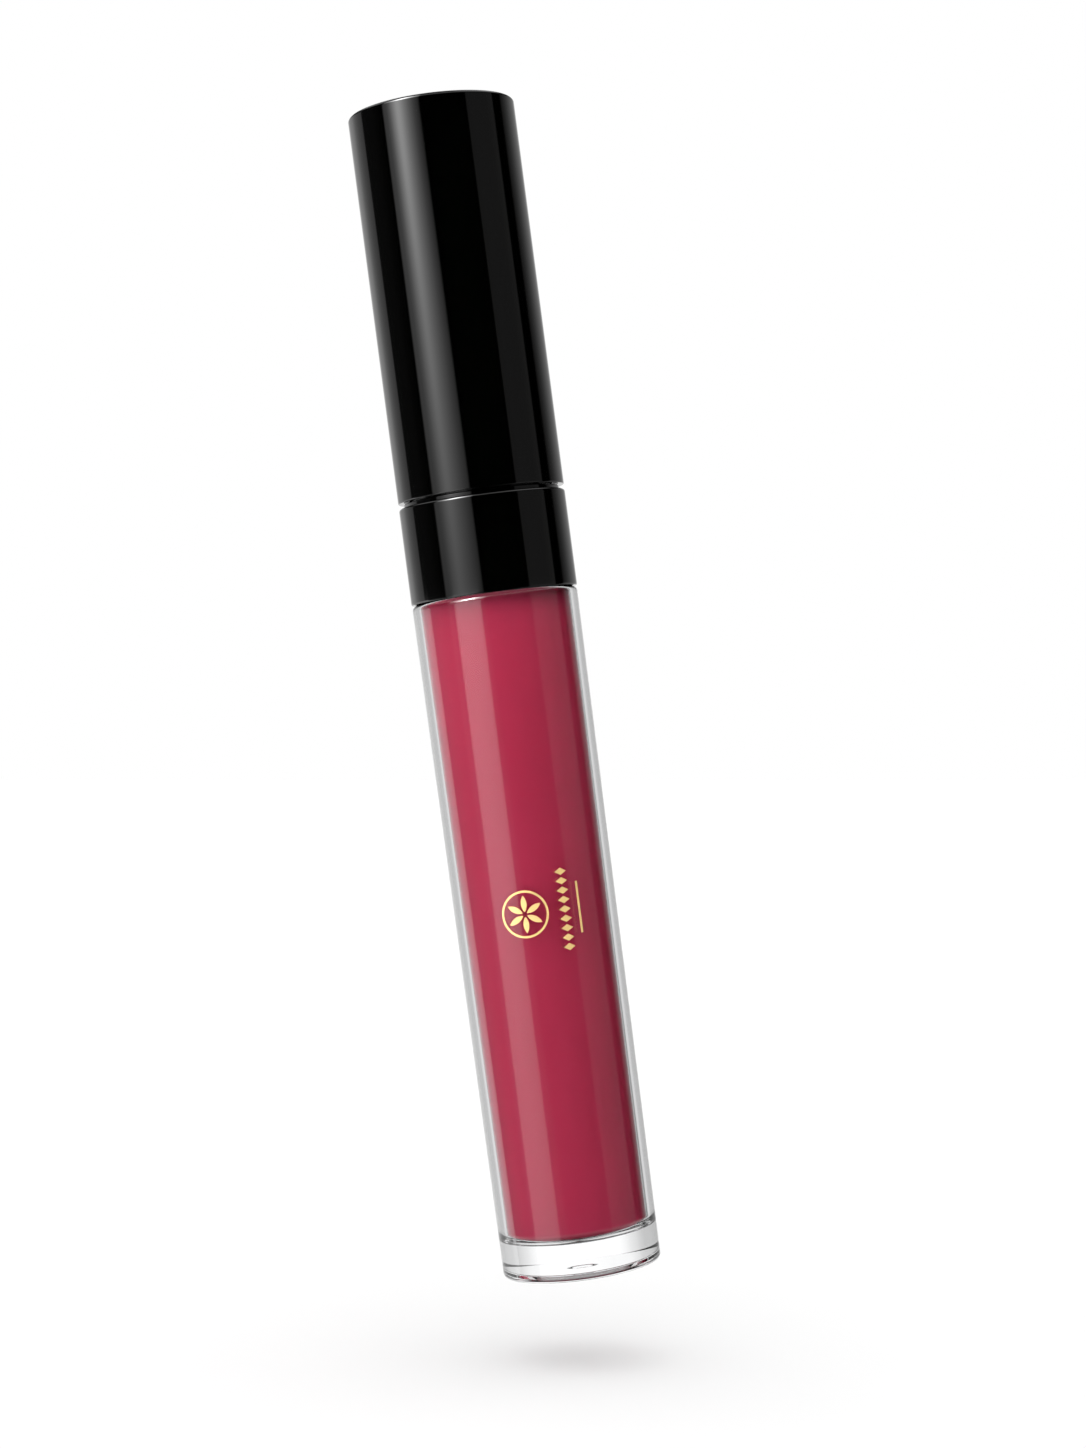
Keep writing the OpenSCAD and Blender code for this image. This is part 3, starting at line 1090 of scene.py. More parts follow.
@dataclass
class Vial:
    """The inner vial with its threaded neck, the gloss in it and the wiper. Sizes are in millimetres."""

    base: float = 3.7
    base_r: float = 7.2
    top_r: float = 7.7
    wall: float = 0.7
    floor: float = 0.5
    edge: float = 1.1
    inner_edge: float = 0.7
    draft_top: float = field(default_factory=lambda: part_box("outer_shell")[1].z / MM)
    roof_above: float = 6.9
    roof: float = 1.1
    neck_root_r: float = 6.1
    neck_r: float = 5.4
    neck_bore_r: float = 4.3
    neck_root: float = 82.8
    neck_top: float = field(default_factory=lambda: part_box("inner_vial")[1].z / MM)
    rim_edge: float = 0.2
    pitch: float = 3.0
    turns: float = 1.5
    ridge_start: float = 84.4
    ridge_sunk: float = 0.3
    ridge_crest_half: float = 0.35
    ridge_root_half: float = 0.85
    fill: float = field(default_factory=lambda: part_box("gloss_fill")[1].z / MM)
    channel_r: float = 2.25
    channel_foot: float = 9.0
    wetting: float = 0.06
    gloss_shoulder: float = 0.5
    gloss_sag: float = 0.15
    gloss_lip: float = 0.3
    lip_r: float = 2.15
    wiper_length: float = 9.0
    wiper_gap: float = 0.025
    wiper_wall: float = 0.6
    lip_edge: float = 0.22
    cone_height: float = 3.4
    cone_inner_height: float = 0.7
    cone_step: float = 0.5
    sleeve_height: float = 4.0
    bore_height: float = 4.4
    mouth_in: float = 0.3
    flange_edge: float = 0.25
    flange_foot_edge: float = 0.15
    flange_r: float = 5.3
    flange: float = 0.8

    def outside(self) -> list[Point]:
        """Returns the outer line of the half section, from the floor up to the rim."""
        roof = self.draft_top + self.roof_above
        return [
            (0.0, self.base),
            *arc(self.base_r - self.edge, self.base + self.edge, self.edge, -90, 0),
            (self.top_r, self.draft_top),
            *arc(self.top_r - self.inner_edge, roof - self.inner_edge, self.inner_edge, 0, 90),
            (self.neck_root_r, roof),
            (self.neck_root_r, self.neck_root),
            (self.neck_r, self.neck_root),
            *arc(
                self.neck_r - self.rim_edge, self.neck_top - self.rim_edge, self.rim_edge, 0, 90, 5
            ),
        ]

    def inside(self, grow: float = 0.0) -> list[Point]:
        """Returns the inner line of the body, from its top down to the floor.

        Args:
            grow: How far the line is pushed into the wall.
        """
        edge = self.inner_edge
        base_r = self.base_r - self.wall + grow
        floor = self.base + self.floor - grow
        return [
            (self.top_r - self.wall + grow, self.draft_top),
            *arc(base_r - edge, floor + edge, edge, 0, -90),
            (0.0, floor),
        ]

    def make_vial(self, shop: Workshop) -> None:
        """Turns the vial and fuses the thread's ridge to its neck.

        Args:
            shop: The shared trees.
        """
        ceiling = self.draft_top + self.roof_above - self.roof
        bore = [(self.neck_bore_r, self.neck_top), (self.neck_bore_r, ceiling)]
        section = [*self.outside(), *bore, (self.top_r - self.wall, ceiling), *self.inside()]
        piece = shop.revolve.turn("clear_vial", section, VIAL_CLEAR)
        sunk, crest, root = self.ridge_sunk, self.ridge_crest_half, self.ridge_root_half
        rise = self.neck_root_r - self.neck_r + sunk
        corners = [(0, -root), (rise, -crest), (rise, crest), (0, root)]
        outline = [Vector((x, -y, 0)) * MM for x, y in corners]
        ridge = flat_mesh("neck_thread", outline, [(i, (i + 1) % 4) for i in range(4)], [])
        ridge = shop.thread.run(
            ridge,
            VIAL_CLEAR,
            Root_Radius=(self.neck_r - sunk) * MM,
            Pitch=self.pitch * MM,
            Turns=self.turns,
            Start_Height=self.ridge_start * MM,
        )
        fuse = piece.modifiers.new("thread", "BOOLEAN")
        fuse.operation = "UNION"
        fuse.solver = "EXACT"
        fuse.object = ridge
        piece = finished(piece)
        bpy.data.objects.remove(ridge)
        settle(piece, Body.TUBE, "vial_plastic", "inner_vial")

    def make_gloss(self, shop: Workshop) -> None:
        """Turns the gloss, which wets the vial's wall and keeps the wand's channel.

        Args:
            shop: The shared trees.
        """
        wall = self.top_r - self.wall
        lip = self.gloss_lip
        section = [
            *reversed(self.inside(self.wetting)),
            (wall + self.wetting, self.fill),
            (wall - self.gloss_shoulder, self.fill - self.gloss_sag),
            *arc(self.channel_r + lip, self.fill - self.gloss_sag - lip, lip, 90, 180, 5),
            *arc(0.0, self.channel_foot, self.channel_r, 0, -90),
        ]
        piece = shop.revolve.turn("gloss_body", section, GLOSS)
        settle(piece, Body.TUBE, "lip_gloss", "gloss_fill")

    def make_wiper(self, shop: Workshop) -> None:
        """Turns the wiper's funnel with its rounded lip and flange.

        Args:
            shop: The shared trees.
        """
        foot = self.neck_top - self.wiper_length
        sleeve = self.neck_bore_r - self.wiper_gap
        bore = sleeve - self.wiper_wall
        flange = self.neck_top + self.flange
        lip, edge, small = self.lip_edge, self.flange_edge, self.flange_foot_edge
        section = [
            *arc(self.lip_r + lip, foot + lip, lip, 180, 290, 6),
            (sleeve - self.cone_step, foot + self.cone_height),
            (sleeve, foot + self.sleeve_height),
            (sleeve, self.neck_top),
            *arc(self.flange_r - small, self.neck_top + small, small, -90, 0, 4),
            *arc(self.flange_r - edge, flange - edge, edge, 0, 90, 5),
            *arc(sleeve - self.mouth_in, flange - edge, edge, 90, 180, 5),
            (bore, self.neck_top - self.wiper_wall),
            (bore, foot + self.bore_height),
            (self.lip_r, foot + self.cone_inner_height),
        ]
        piece = shop.revolve.turn("wiper_funnel", section, NATURAL)
        settle(piece, Body.TUBE, "wiper_plastic", "wiper")


@dataclass
class FoilPrint:
    """The generic gold print: a rosette, a row of lozenges and a thin rule. Sizes are in millimetres."""

    shell: ClearShell
    middle: float = 37.2
    direction: float = -7.0
    rosette_r: float = 2.4
    ring_w: float = 0.22
    ring_sectors: int = 24
    ring_steps: int = 3
    petals: int = 6
    petal_start: float = 0.24
    petal_short: float = 0.75
    petal_bow: float = 0.8
    petal_lean: float = 0.78
    petal_rows: int = 14
    point_w: float = 0.004
    lozenges: int = 9
    lozenge_pitch: float = 0.95
    lozenge_half_w: float = 0.62
    lozenge_half_h: float = 0.36
    lozenge_rows: int = 8
    row_turn: float = 28.0
    rule_turn: float = 39.0
    rule_w: float = 0.22
    rule_l: float = 5.2
    thickness: float = 0.05
    lift: float = 0.003

    def _strip(
        self, name: str, left: Sequence[Point], right: Sequence[Point], cells: int
    ) -> bpy.types.Object:
        """Makes a flat shape between two lines of points.

        Args:
            name: The shape's name.
            left: Its left edge, in millimetres.
            right: Its right edge, with as many points.
            cells: How many faces lie across it.

        Returns:
            The flat shape.
        """
        points = []
        for (x0, y0), (x1, y1) in zip(left, right, strict=True):
            for k in range(cells + 1):
                share = k / cells
                points.append(Vector((x0 + (x1 - x0) * share, y0 + (y1 - y0) * share, 0)) * MM)
        wide = cells + 1
        faces = [
            (i * wide + k, i * wide + k + 1, (i + 1) * wide + k + 1, (i + 1) * wide + k)
            for i in range(len(left) - 1)
            for k in range(cells)
        ]
        return flat_mesh(name, points, [], faces)

    def _printed(
        self, shop: Workshop, shape: bpy.types.Object, turn: float, **layout: object
    ) -> bpy.types.Object:
        """Lays a shape's copies on the shell.

        Args:
            shop: The shared trees.
            shape: The flat shape.
            turn: Its direction from the front, in degrees to the right.
            layout: The print tree's inputs for the copies.

        Returns:
            The foil.
        """
        return shop.foil.run(
            shape,
            GOLD,
            Direction=math.radians(turn),
            Middle_Height=self.middle * MM,
            Wall_Radius=(self.shell.radius(self.middle) + self.lift) * MM,
            Draft=(self.shell.top_r - self.shell.base_r) / self.shell.height,
            Thickness=self.thickness * MM,
            **layout,
        )

    def make_rosette(self, shop: Workshop) -> None:
        """Lays the ring and its petals.

        Args:
            shop: The shared trees.
        """
        sectors, steps = self.ring_sectors, self.ring_steps
        angles = [math.tau / sectors * i / steps for i in range(steps + 1)]
        rims = [
            [(r * math.cos(a), r * math.sin(a)) for a in angles]
            for r in (self.rosette_r - self.ring_w, self.rosette_r)
        ]
        ring = self._strip("rosette_ring", rims[1], rims[0], 2)
        ring = self._printed(shop, ring, self.direction, Count=sectors, Turn_Step=math.tau / sectors)
        height = self.rosette_r - self.petal_short
        bow = self.petal_bow * height
        lean = self.petal_lean * bow
        reach = math.sqrt(bow**2 - lean**2)
        rows = self.petal_rows
        heights = [-reach + 2 * reach * i / rows for i in range(rows + 1)]
        half = [max(math.sqrt(bow**2 - h**2) - lean, self.point_w) for h in heights]
        middle = self.petal_start + height / 2
        left = [(-w, middle + h) for w, h in zip(half, heights, strict=True)]
        right = [(w, y) for (_, y), w in zip(left, half, strict=True)]
        petal = self._strip("rosette_petals", left, right, 4)
        petal = self._printed(
            shop, petal, self.direction, Count=self.petals, Turn_Step=math.tau / self.petals
        )
        piece = joined("foil_rosette_leaf", [ring, petal])
        settle(piece, Body.TUBE, "gold_foil", "foil_rosette")

    def make_row(self, shop: Workshop) -> None:
        """Lays the lozenges and the rule beside them.

        Args:
            shop: The shared trees.
        """
        rows = self.lozenge_rows
        places = [-1 + 2 * i / rows for i in range(rows + 1)]
        left = [
            (-max(self.lozenge_half_w * (1 - abs(t)), self.point_w), self.lozenge_half_h * t)
            for t in places
        ]
        right = [(-x, y) for x, y in left]
        lozenge = self._strip("lozenges", left, right, 6)
        lozenge = self._printed(
            shop,
            lozenge,
            self.direction + self.row_turn,
            Count=self.lozenges,
            Pitch=self.lozenge_pitch * MM,
        )
        ends = [(-self.rule_w / 2, self.rule_l * t / 2) for t in places]
        rule = self._strip("rule", ends, [(-x, y) for x, y in ends], 2)
        rule = self._printed(shop, rule, self.direction + self.rule_turn, Count=1)
        piece = joined("foil_row_leaf", [lozenge, rule])
        settle(piece, Body.TUBE, "gold_foil", "foil_row")


def joined(name: str, parts: Sequence[bpy.types.Object]) -> bpy.types.Object:
    """Joins pieces of one finish into one.

    Args:
        name: The name of the result.
        parts: The pieces, which are removed.

    Returns:
        The joined piece.
    """
    shape = bmesh.new()
    for part in parts:
        shape.from_mesh(part.data)
    mesh = bpy.data.meshes.new(name)
    shape.to_mesh(mesh)
    shape.free()
    mesh.materials.append(parts[0].data.materials[0])
    for part in parts:
        bpy.data.objects.remove(part)
    return object_from(mesh, name)


@dataclass
class Collar:
    """The black ring between the shell and the cap. Sizes are in millimetres."""

    r: float = 8.6
    edge: float = 0.15
    lip_edge: float = 0.3
    step_r: float = 8.03
    step: float = 0.4
    spigot_r: float = 7.25
    spigot: float = 2.5
    spigot_edge: float = 0.2
    step_edge: float = 0.08
    bore_r: float = 7.75
    neck_r: float = 6.15
    roof: float = 3.0
    foot: float = field(default_factory=lambda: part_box("collar")[0].z / MM)
    height: float = 10.0

    def make(self, shop: Workshop) -> None:
        """Turns the collar.

        Args:
            shop: The shared trees.
        """
        top = self.foot + self.height
        step_top = top + self.step
        spigot_top = step_top + self.spigot
        roof = top - self.roof
        soft, edge = self.step_edge, self.spigot_edge
        section = [
            (self.bore_r, self.foot),
            *arc(self.r - self.edge, self.foot + self.edge, self.edge, -90, 0, 8),
            *arc(self.r - self.lip_edge, top - self.lip_edge, self.lip_edge, 0, 90),
            (self.step_r, top),
            *arc(self.step_r - soft, step_top - soft, soft, 0, 90, 4),
            (self.spigot_r, step_top),
            *arc(self.spigot_r - edge, spigot_top - edge, edge, 0, 90, 5),
            (self.neck_r, spigot_top),
            (self.neck_r, roof),
            (self.bore_r, roof),
        ]
        piece = shop.revolve.turn("black_collar", section, BLACK, 256)
        settle(piece, Body.TUBE, "black_plastic", "collar")


@dataclass
class Cap:
    """The tall black cap with its liner and gasket. Sizes are in millimetres."""

    r: float = 8.6
    wall: float = 1.2
    roof: float = 1.4
    top_edge: float = 0.35
    mouth_edge: float = 0.1
    ceiling_edge: float = 0.4
    gasket_edge: float = 0.1
    gasket_r: float = 5.3
    gasket_bore: float = 2.1
    foot: float = field(default_factory=lambda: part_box("cap_shell")[0].z / MM)
    top: float = field(default_factory=lambda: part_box("cap_shell")[1].z / MM)

    def make(self, shop: Workshop) -> None:
        """Turns the cap's shell and the gasket, and dresses the liner.

        Args:
            shop: The shared trees.
        """
        bore = self.r - self.wall
        ceiling = self.top - self.roof
        inner, mouth, edge = self.ceiling_edge, self.mouth_edge, self.top_edge
        section = [
            (0.0, ceiling),
            *arc(bore - inner, ceiling - inner, inner, 90, 0, 5),
            *arc(bore + mouth, self.foot + mouth, mouth, 180, 270, 5),
            *arc(self.r - mouth, self.foot + mouth, mouth, -90, 0, 8),
            *arc(self.r - edge, self.top - edge, edge, 0, 90, 12),
            (0.0, self.top),
        ]
        piece = shop.revolve.turn("black_cap", section, BLACK, 256)
        settle(piece, Body.CAP, "black_plastic", "cap_shell")
        dress_node("cap_liner", LINER_BLACK)
        low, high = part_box("gasket")
        foot, top, edge = low.z / MM, high.z / MM, self.gasket_edge
        section = [
            *arc(self.gasket_bore + edge, foot + edge, edge, 180, 270, 3),
            *arc(self.gasket_r - edge, foot + edge, edge, -90, 0, 3),
            *arc(self.gasket_r - edge, top - edge, edge, 0, 90, 3),
            *arc(self.gasket_bore + edge, top - edge, edge, 90, 180, 3),
        ]
        piece = shop.revolve.turn("foam_gasket", section, FOAM, 128)
        settle(piece, Body.WASHER, "gasket_foam", "gasket")


@dataclass
class Wand:
    """The stem, the flocked applicator and the gloss that clings to the stem. Sizes are in millimetres."""

    stem_r: float = 2.0
    flock_r: float = 1.95
    fibre: float = 0.22
    slope: float = 14.0
    flat_share: float = 0.3
    softness: float = 0.35
    plug_r: float = 1.22
    plug_length: float = 5.1
    edge: float = 0.15
    film_gap: float = 0.02
    film_taper: float = 0.3
    skin_share: float = 0.6
    skin_rings: int = 16
    foot: float = field(default_factory=lambda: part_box("wand_stem")[0].z / MM)
    top: float = field(default_factory=lambda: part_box("wand_stem")[1].z / MM)

    def make_stem(self, shop: Workshop) -> None:
        """Turns the stem with its socket for the applicator's plug.

        Args:
            shop: The shared trees.
        """
        edge = self.edge
        section = [
            (0.0, self.foot + self.plug_length),
            (self.plug_r, self.foot + self.plug_length),
            (self.plug_r, self.foot),
            *arc(self.stem_r - edge, self.foot + edge, edge, -90, 0, 5),
            *arc(self.stem_r - edge, self.top - edge, edge, 0, 90, 5),
            (0.0, self.top),
        ]
        piece = shop.revolve.turn("black_stem", section, STEM_BLACK, 96)
        settle(piece, Body.CAP, "stem_plastic", "wand_stem")

    def make_film(self, shop: Workshop) -> None:
        """Turns the thin sleeve of gloss on the stem.

        Args:
            shop: The shared trees.
        """
        low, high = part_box("gloss_film")
        inner, outer = self.stem_r + self.film_gap, high.x / MM
        foot, top = low.z / MM, high.z / MM
        taper = self.film_taper
        section = [(inner, foot), (outer, foot + taper), (outer, top - taper), (inner, top)]
        piece = shop.revolve.turn("gloss_sleeve", section, STREAKS, 96)
        settle(piece, Body.FILM, "lip_gloss", "gloss_film")

    def make_applicator(self, shop: Workshop) -> None:
        """Shapes the slanted skin, grows its flock and dresses the core.

        Args:
            shop: The shared trees.
        """
        low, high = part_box("applicator_flock")
        tip, top = low.z / MM, high.z / MM
        skin_gap = self.fibre * self.skin_share
        r = self.flock_r - skin_gap
        edge, rings = self.edge, self.skin_rings
        bottom = tip + edge + r
        section = [
            (0.0, tip + edge),
            *arc(0.0, bottom, r, -90, 0, 14)[1:],
            *[(r, bottom + (top - tip - r - 2 * edge) * i / rings) for i in range(1, rings)],
            *arc(r - edge, top - edge, edge, 0, 90, 4),
            (0.0, top),
        ]
        skin = shop.revolve.turn("flocked_tip", section, FLOCK, 48)
        slant = math.tan(math.radians(self.slope))
        for vertex in skin.data.vertices:
            x, y, z = vertex.co / MM
            face = self.flat_share * self.flock_r + skin_gap - (z - tip) * slant
            vertex.co = Vector((x, self._pressed(y, face), z)) * MM
        bpy.context.view_layer.update()
        piece = shop.flock.run(skin, FLOCK, Fibre_Length=self.fibre * MM)
        settle(piece, Body.CAP, "flock", "applicator_flock")
        dress_node("applicator_core", TIP_PLASTIC)

    def _pressed(self, y: float, face: float) -> float:
        """Presses a point back to the flat face, with a soft edge.

        Args:
            y: The point's place.
            face: Where the face stands.

        Returns:
            The pressed place.
        """
        gap = y - face
        return face + (gap + math.sqrt(gap * gap + self.softness**2 * 0.25)) / 2


# ---------------------------------------------------------------- studio


@dataclass
class Studio:
    """The camera, the pale floor and the soft studio light round the object."""

    lens: float = 70.0
    distance: float = 0.290
    sideways: float = 3.24 * MM
    height: float = 55.86 * MM
    roll: float = 7.478
    floor_drop: float = 9.4 * MM
    floor_size: float = 6.0

    # What gloss mirrors all round, by degrees from the camera's side, to the right
    surround: tuple[Point, ...] = (
        (-180, 1.0), (-170, 0.85), (-160, 0.7), (-152, 0.69), (-146, 0.8), (-140, 0.85),
        (-131, 0.66), (-122, 0.54), (-114, 0.47), (-111.4, 0.45), (-110, 0.04), (-88, 0.04),
        (-80, 0.023), (-72, 0.005), (-70, 0.0), (50.6, 0.0), (51.8, 0.18), (60, 0.188),
        (84, 0.162), (95, 0.185), (96.6, 0.0), (112, 0.0), (116, 0.11), (122, 0.18),
        (134, 0.355), (142, 0.43), (152, 0.45), (160, 0.5), (168, 0.8), (180, 1.0),
    )
    # The same near the horizon and below, where the drafted tube mirrors
    surround_low: tuple[Point, ...] = (
        (-180, 1.0), (-150, 0.95), (-142, 0.9), (-131, 1.2), (-123, 1.4), (-116, 1.5),
        (-110, 1.9), (-103, 1.9), (-101.8, 0.32), (-88, 0.3), (-70, 0.22), (-62, 0.18),
        (-60, 0.0), (50.6, 0.0), (51.8, 0.36), (84, 0.34), (95, 0.36), (96.6, 0.0),
        (111, 0.0), (113.5, 0.35), (122, 0.5), (134, 0.5), (152, 0.55), (160, 0.6),
        (168, 1.0), (180, 1.0),
    )
    # What the inner faces of clear plastic mirror
    inside: tuple[Point, ...] = (
        (-180, 0.46), (-150, 0.46), (-143, 0.42), (-139.5, 0.62), (-135, 0.75), (-132, 0.36),
        (-119, 0.15), (-111, 0.04), (-88, 0.0), (112, 0.0), (125, 0.04), (132, 0.08),
        (138, 0.16), (141, 0.75), (146, 0.75), (150, 0.55), (162, 0.5), (180, 0.5),
    )
    # What they mirror above that, by degrees from the far side
    inside_above: tuple[Point, ...] = (
        (0, 1.12), (28, 1.0), (40, 0.75), (60, 0.6), (80, 0.25), (100, 0.06), (180, 0.06),
    )
    # What they mirror below that
    inside_below: tuple[Point, ...] = (
        (0, 0.04), (15, 0.04), (25, 0.85), (60, 0.85), (100, 0.3), (180, 0.3),
    )
    # What clear plastic shows straight through, by degrees from the far side
    backdrop: tuple[Point, ...] = (
        (0, 1.12), (20, 1.1), (25, 1.0), (29, 0.88), (38, 0.72), (46, 0.62), (60, 0.62),
        (110, 0.7), (130, 0.95), (180, 0.95),
    )
    # Shape of the softbox across its width
    softbox: tuple[Point, ...] = (
        (-69, 0.0), (-67, 0.15), (-62, 0.18), (-57.2, 0.33), (-51, 0.7), (-46.6, 0.97),
        (-43.6, 1.0), (-40.6, 0.9), (-34.8, 0.615), (-29, 0.389), (-22, 0.19), (-16.5, 0.1),
        (-14.8, 0.08), (-13.6, 0.0),
    )
    # Brightness of the softbox by height, in degrees above the horizon
    softbox_height: tuple[Point, ...] = (
        (-30, 0.4), (2.45, 0.5), (2.75, 1.6), (5, 2.4), (6, 2.75), (8.6, 3.9), (12.5, 6.5),
        (20, 7.0), (28, 40.0), (52, 40.0), (64, 4.0), (85, 0.0),
    )
    softbox_peak: float = 40.0
    # The lower softbox, across its width and by height, and how it leans
    lower: tuple[Point, ...] = (
        (-58.5, 0.0), (-56, 1.0), (-28, 0.95), (-20, 0.85), (-18, 0.0),
    )
    lower_height: tuple[Point, ...] = ((-12, 1.4), (-6, 1.85), (-2, 2.1), (2.35, 2.5), (2.65, 0.0))
    lower_peak: float = 2.5
    horizon: float = 2.5
    horizon_blur: float = 0.15
    # How far the lower softbox leans, as a share of its height
    lower_lean: float = 0.25
    # How the softbox's edges soften where it is dim: exponent at its darkest, growth and limit
    soften: tuple[float, float, float] = (0.32, 5.1, 1.1)
    # Panel in the ceiling, by degrees above the horizon
    ceiling: float = 1.3
    ceiling_height: tuple[Point, ...] = ((32, 0.0), (42, 1.0), (60, 1.0), (72, 0.04))
    # Where the room fades upwards, and where the inner faces' upper and lower views begin
    room_height: tuple[Point, ...] = ((16, 1.0), (25, 0.06))
    upper_view: tuple[Point, ...] = ((4, 0.0), (7, 1.0))
    lower_view: tuple[Point, ...] = ((-26, 1.0), (-15, 0.0))
    # Light that falls on coloured surfaces: from all round, from the key's side and from above
    ambient: float = 1.46
    key: float = 1.85
    key_from: float = -55.0
    least: float = 0.04
    overhead: float = 1.42
    # Sines of the height where light from above begins and how wide that change is, and the same below
    above_from: float = 0.38
    above_blur: float = 0.35
    above_spread: float = 0.3
    below_from: float = -0.65
    below_blur: float = 0.4
    below_least: float = 0.05

    def make(self) -> None:
        """Sets up everything round the object."""
        self._camera()
        self._floor()
        self._light()
        bpy.context.scene.view_settings.view_transform = "Standard"

    def _camera(self) -> None:
        """Places the camera in front, rolled as the tube leans."""
        camera = bpy.data.cameras.new("camera")
        camera.lens = self.lens
        camera.clip_start = 0.01
        holder = bpy.data.objects.new("camera", camera)
        bpy.context.scene.collection.objects.link(holder)
        roll = math.radians(self.roll)
        right = Vector((math.cos(roll), 0.0, -math.sin(roll)))
        up = Vector((math.sin(roll), 0.0, math.cos(roll)))
        back = Vector((0.0, -1.0, 0.0))
        turn = Matrix((right, up, back)).transposed().to_4x4()
        spot = Matrix.Translation((self.sideways, -self.distance, self.height))
        holder.matrix_world = spot @ turn
        bpy.context.scene.camera = holder

    def _floor(self) -> None:
        """Lays the floor under the tube, square to the camera's upright."""
        roll = math.radians(self.roll)
        right = Vector((math.cos(roll), 0.0, -math.sin(roll)))
        away = Vector((0.0, 1.0, 0.0))
        middle = Vector((math.sin(roll), 0.0, math.cos(roll))) * -self.floor_drop
        half = self.floor_size / 2
        corners = [
            middle + right * (half * x) + away * (half * y)
            for x, y in ((-1, -1), (1, -1), (1, 1), (-1, 1))
        ]
        floor = flat_mesh("floor", corners, [], [(0, 1, 2, 3)])
        floor.data.materials.append(FLOOR.material())
        for ray in ("visible_glossy", "visible_transmission", "visible_diffuse"):
            setattr(floor, ray, False)

    def _light(self) -> None:
        """Builds the studio as a world: white behind, dark in front, one tall softbox at the left."""
        world = bpy.data.worlds.new("studio")
        world.use_nodes = True
        world.node_tree.nodes.clear()
        world.cycles.sampling_method = "NONE"
        bpy.context.scene.world = world
        graph = Graph(world.node_tree)
        way = graph.add("ShaderNodeTexCoord")["Generated"]
        split = graph.add("ShaderNodeSeparateXYZ", None, {"Vector": way})
        x, y, z = split["X"], split["Y"], split["Z"]
        turn = x.apply(Maths.ARCTAN2, y * -1.0) / math.tau + 0.5
        rise = z.apply(Maths.ARCSINE) / math.pi + 0.5
        path = graph.add("ShaderNodeLightPath")
        clear = path["Transmission Depth"].apply(Maths.GREATER, 0.5)
        turned = path["Glossy Depth"].apply(Maths.GREATER, 0.5)
        behind = self._ramp_behind(graph, turn, self.backdrop)
        above = graph.ramp(rise, self._upwards(self.upper_view))
        steep = graph.ramp(rise, self._upwards(self.lower_view))
        under = self._ramp_behind(graph, turn, self.inside_below)
        inner = graph.ramp(turn, self._around(self.inside))
        over = self._ramp_behind(graph, turn, self.inside_above)
        inner = (inner * (1 - above) + over * above) * (1 - steep) + under * steep
        behind = behind * (1 - steep) + under * steep
        outer = self._outer(graph, turn, rise) + self._lamps(graph, turn, rise)
        seen = outer * (1 - clear) + inner * clear
        straight = clear * (1 - turned)
        seen = seen * (1 - straight) + behind * straight
        scattered = path["Diffuse Depth"].apply(Maths.GREATER, 0.5)
        level = seen * (1 - scattered) + self._shone(graph, x, y, z) * scattered
        camera = path["Is Camera Ray"]
        level = level * (1 - camera) + camera
        background = graph.add("ShaderNodeBackground", None, {"Color": level, "Strength": 1.0})
        graph.add("ShaderNodeOutputWorld", None, {"Surface": background["Background"]})

    @staticmethod
    def _around(stops: Sequence[Point]) -> list[Point]:
        """Turns degrees round the object, 0 at the camera's side, into places on a ramp."""
        return [(degrees / 360 + 0.5, level) for degrees, level in stops]

    @staticmethod
    def _upwards(stops: Sequence[Point], peak: float = 1.0) -> list[Point]:
        """Turns degrees above the horizon into places on a ramp, and levels into shares of a peak."""
        return [(degrees / 180 + 0.5, level / peak) for degrees, level in stops]

    @staticmethod
    def _ramp_behind(graph: Graph, turn: Value, stops: Sequence[Point]) -> Value:
        """Reads a brightness by how far a direction is from the far side.

        Args:
            graph: The world's tree.
            turn: The direction round the object, 0 to 1.
            stops: Pairs of degrees from the far side and brightness.

        Returns:
            The brightness.
        """
        off = (turn - 0.5).apply(Maths.ABSOLUTE) * -2.0 + 1.0
        return graph.ramp(off, [(a / 180, v) for a, v in stops])

    def _outer(self, graph: Graph, turn: Value, rise: Value) -> Value:
        """Builds the room that outer faces mirror, without its lamps.

        Args:
            graph: The world's tree.
            turn: The direction round the object, 0 to 1.
            rise: The height of the direction, 0 to 1.

        Returns:
            The brightness.
        """
        edge = [(self.horizon - self.horizon_blur, 1.0), (self.horizon + self.horizon_blur, 0.0)]
        low = graph.ramp(rise, self._upwards(edge))
        high = graph.ramp(rise, self._upwards(self.room_height))
        upper = graph.ramp(turn, self._around(self.surround))
        lower = graph.ramp(turn, self._around(self.surround_low))
        return lower * low + upper * (1 - low) * high

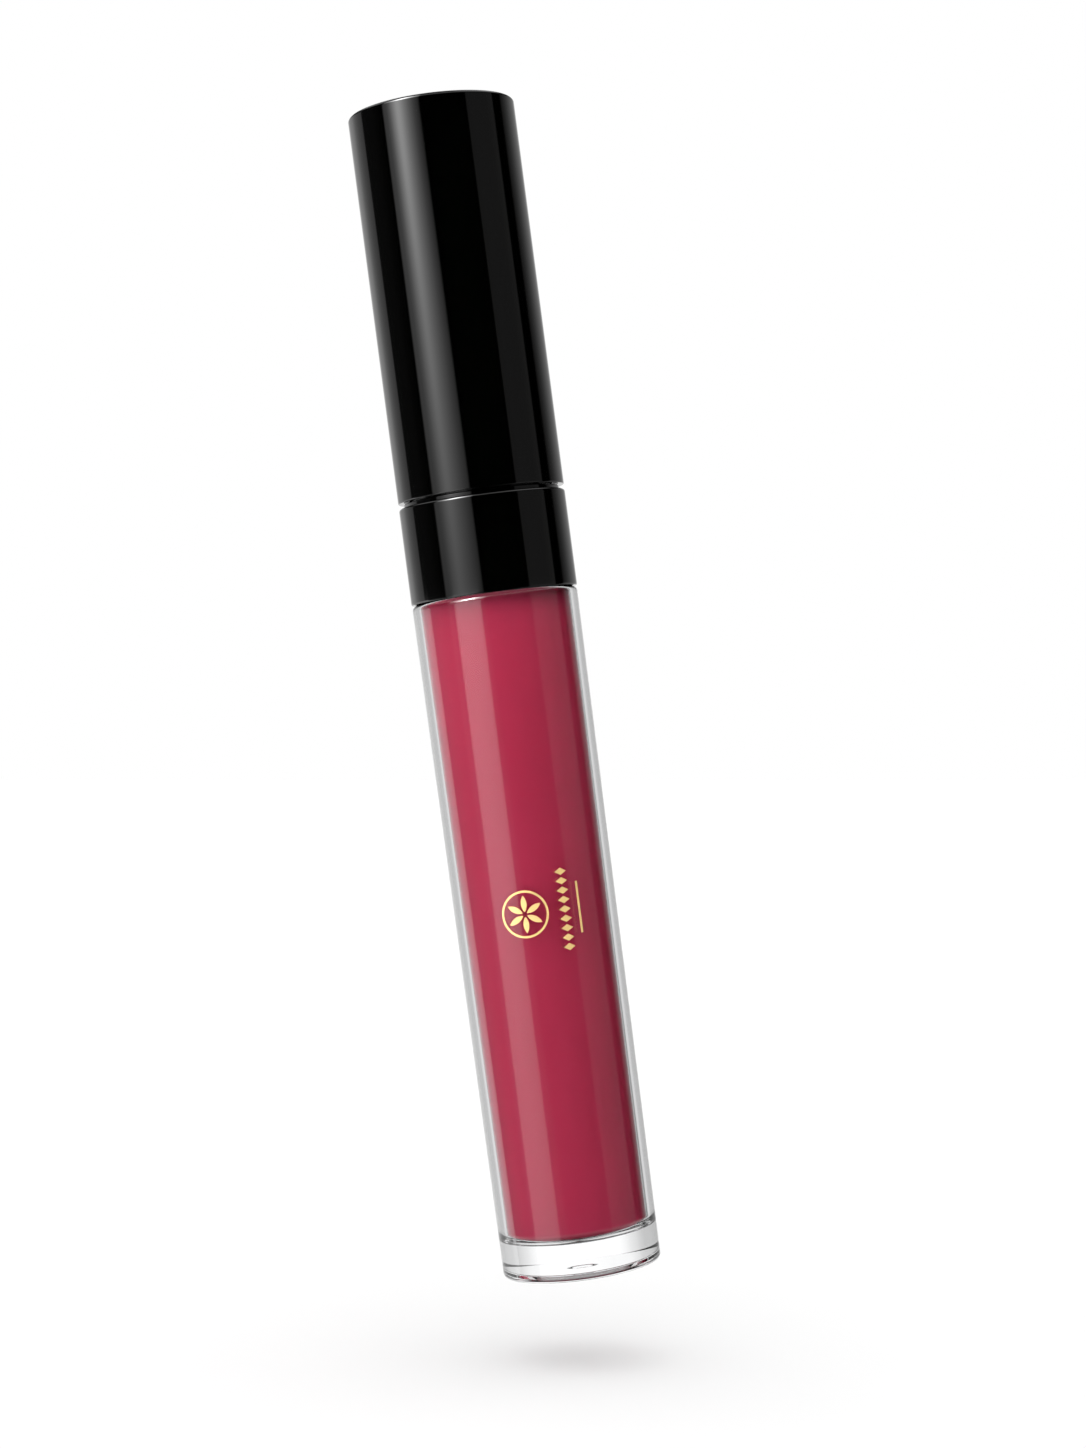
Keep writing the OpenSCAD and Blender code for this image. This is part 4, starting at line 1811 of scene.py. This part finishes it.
    def _lamps(self, graph: Graph, turn: Value, rise: Value) -> Value:
        """Builds the softboxes and the ceiling panel, as outer faces mirror them.

        Args:
            graph: The world's tree.
            turn: The direction round the object, 0 to 1.
            rise: The height of the direction, 0 to 1.

        Returns:
            The brightness.
        """
        shape = graph.ramp(turn, self._around(self.softbox))
        strength = graph.ramp(rise, self._upwards(self.softbox_height, self.softbox_peak))
        dim, growth, limit = self.soften
        narrow = (strength * growth + dim).apply(Maths.MINIMUM, limit)
        upper = (shape**narrow) * strength * self.softbox_peak
        leaning = turn - (rise - (self.horizon / 180 + 0.5)) * self.lower_lean
        shape = graph.ramp(leaning, self._around(self.lower))
        strength = graph.ramp(rise, self._upwards(self.lower_height, self.lower_peak))
        lower = shape * strength * self.lower_peak
        roof = graph.ramp(rise, self._upwards(self.ceiling_height)) * self.ceiling
        return upper + lower + roof

    def _shone(self, graph: Graph, x: Value, y: Value, z: Value) -> Value:
        """Builds the light that falls on coloured surfaces and on the floor.

        Args:
            graph: The world's tree.
            x: The direction's x.
            y: The direction's y.
            z: The direction's z.

        Returns:
            The brightness.
        """
        side = math.sin(math.radians(self.key_from))
        front = -math.cos(math.radians(self.key_from))
        towards = x * side + y * front
        low = (towards * self.key + self.ambient).apply(Maths.MAXIMUM, self.least)
        under = (z - self.below_from) / self.below_blur
        low = low * under.apply(Maths.MAXIMUM, self.below_least).apply(Maths.MINIMUM, 1.0)
        wide = z + x.apply(Maths.ABSOLUTE) * self.above_spread
        high = (wide - self.above_from) / self.above_blur
        high = high.apply(Maths.MAXIMUM, 0.0).apply(Maths.MINIMUM, 1.0)
        return low * (1 - high) + high * self.overhead


def main() -> None:
    """Builds the studio, then each sub-assembly from the base up."""
    Studio().make()
    shop = Workshop()
    shell = ClearShell()
    shell.make(shop)
    vial = Vial()
    vial.make_vial(shop)
    vial.make_gloss(shop)
    vial.make_wiper(shop)
    foil = FoilPrint(shell)
    foil.make_rosette(shop)
    foil.make_row(shop)
    Collar().make(shop)
    Cap().make(shop)
    wand = Wand()
    wand.make_stem(shop)
    wand.make_film(shop)
    wand.make_applicator(shop)


if __name__ == "__main__":
    main()
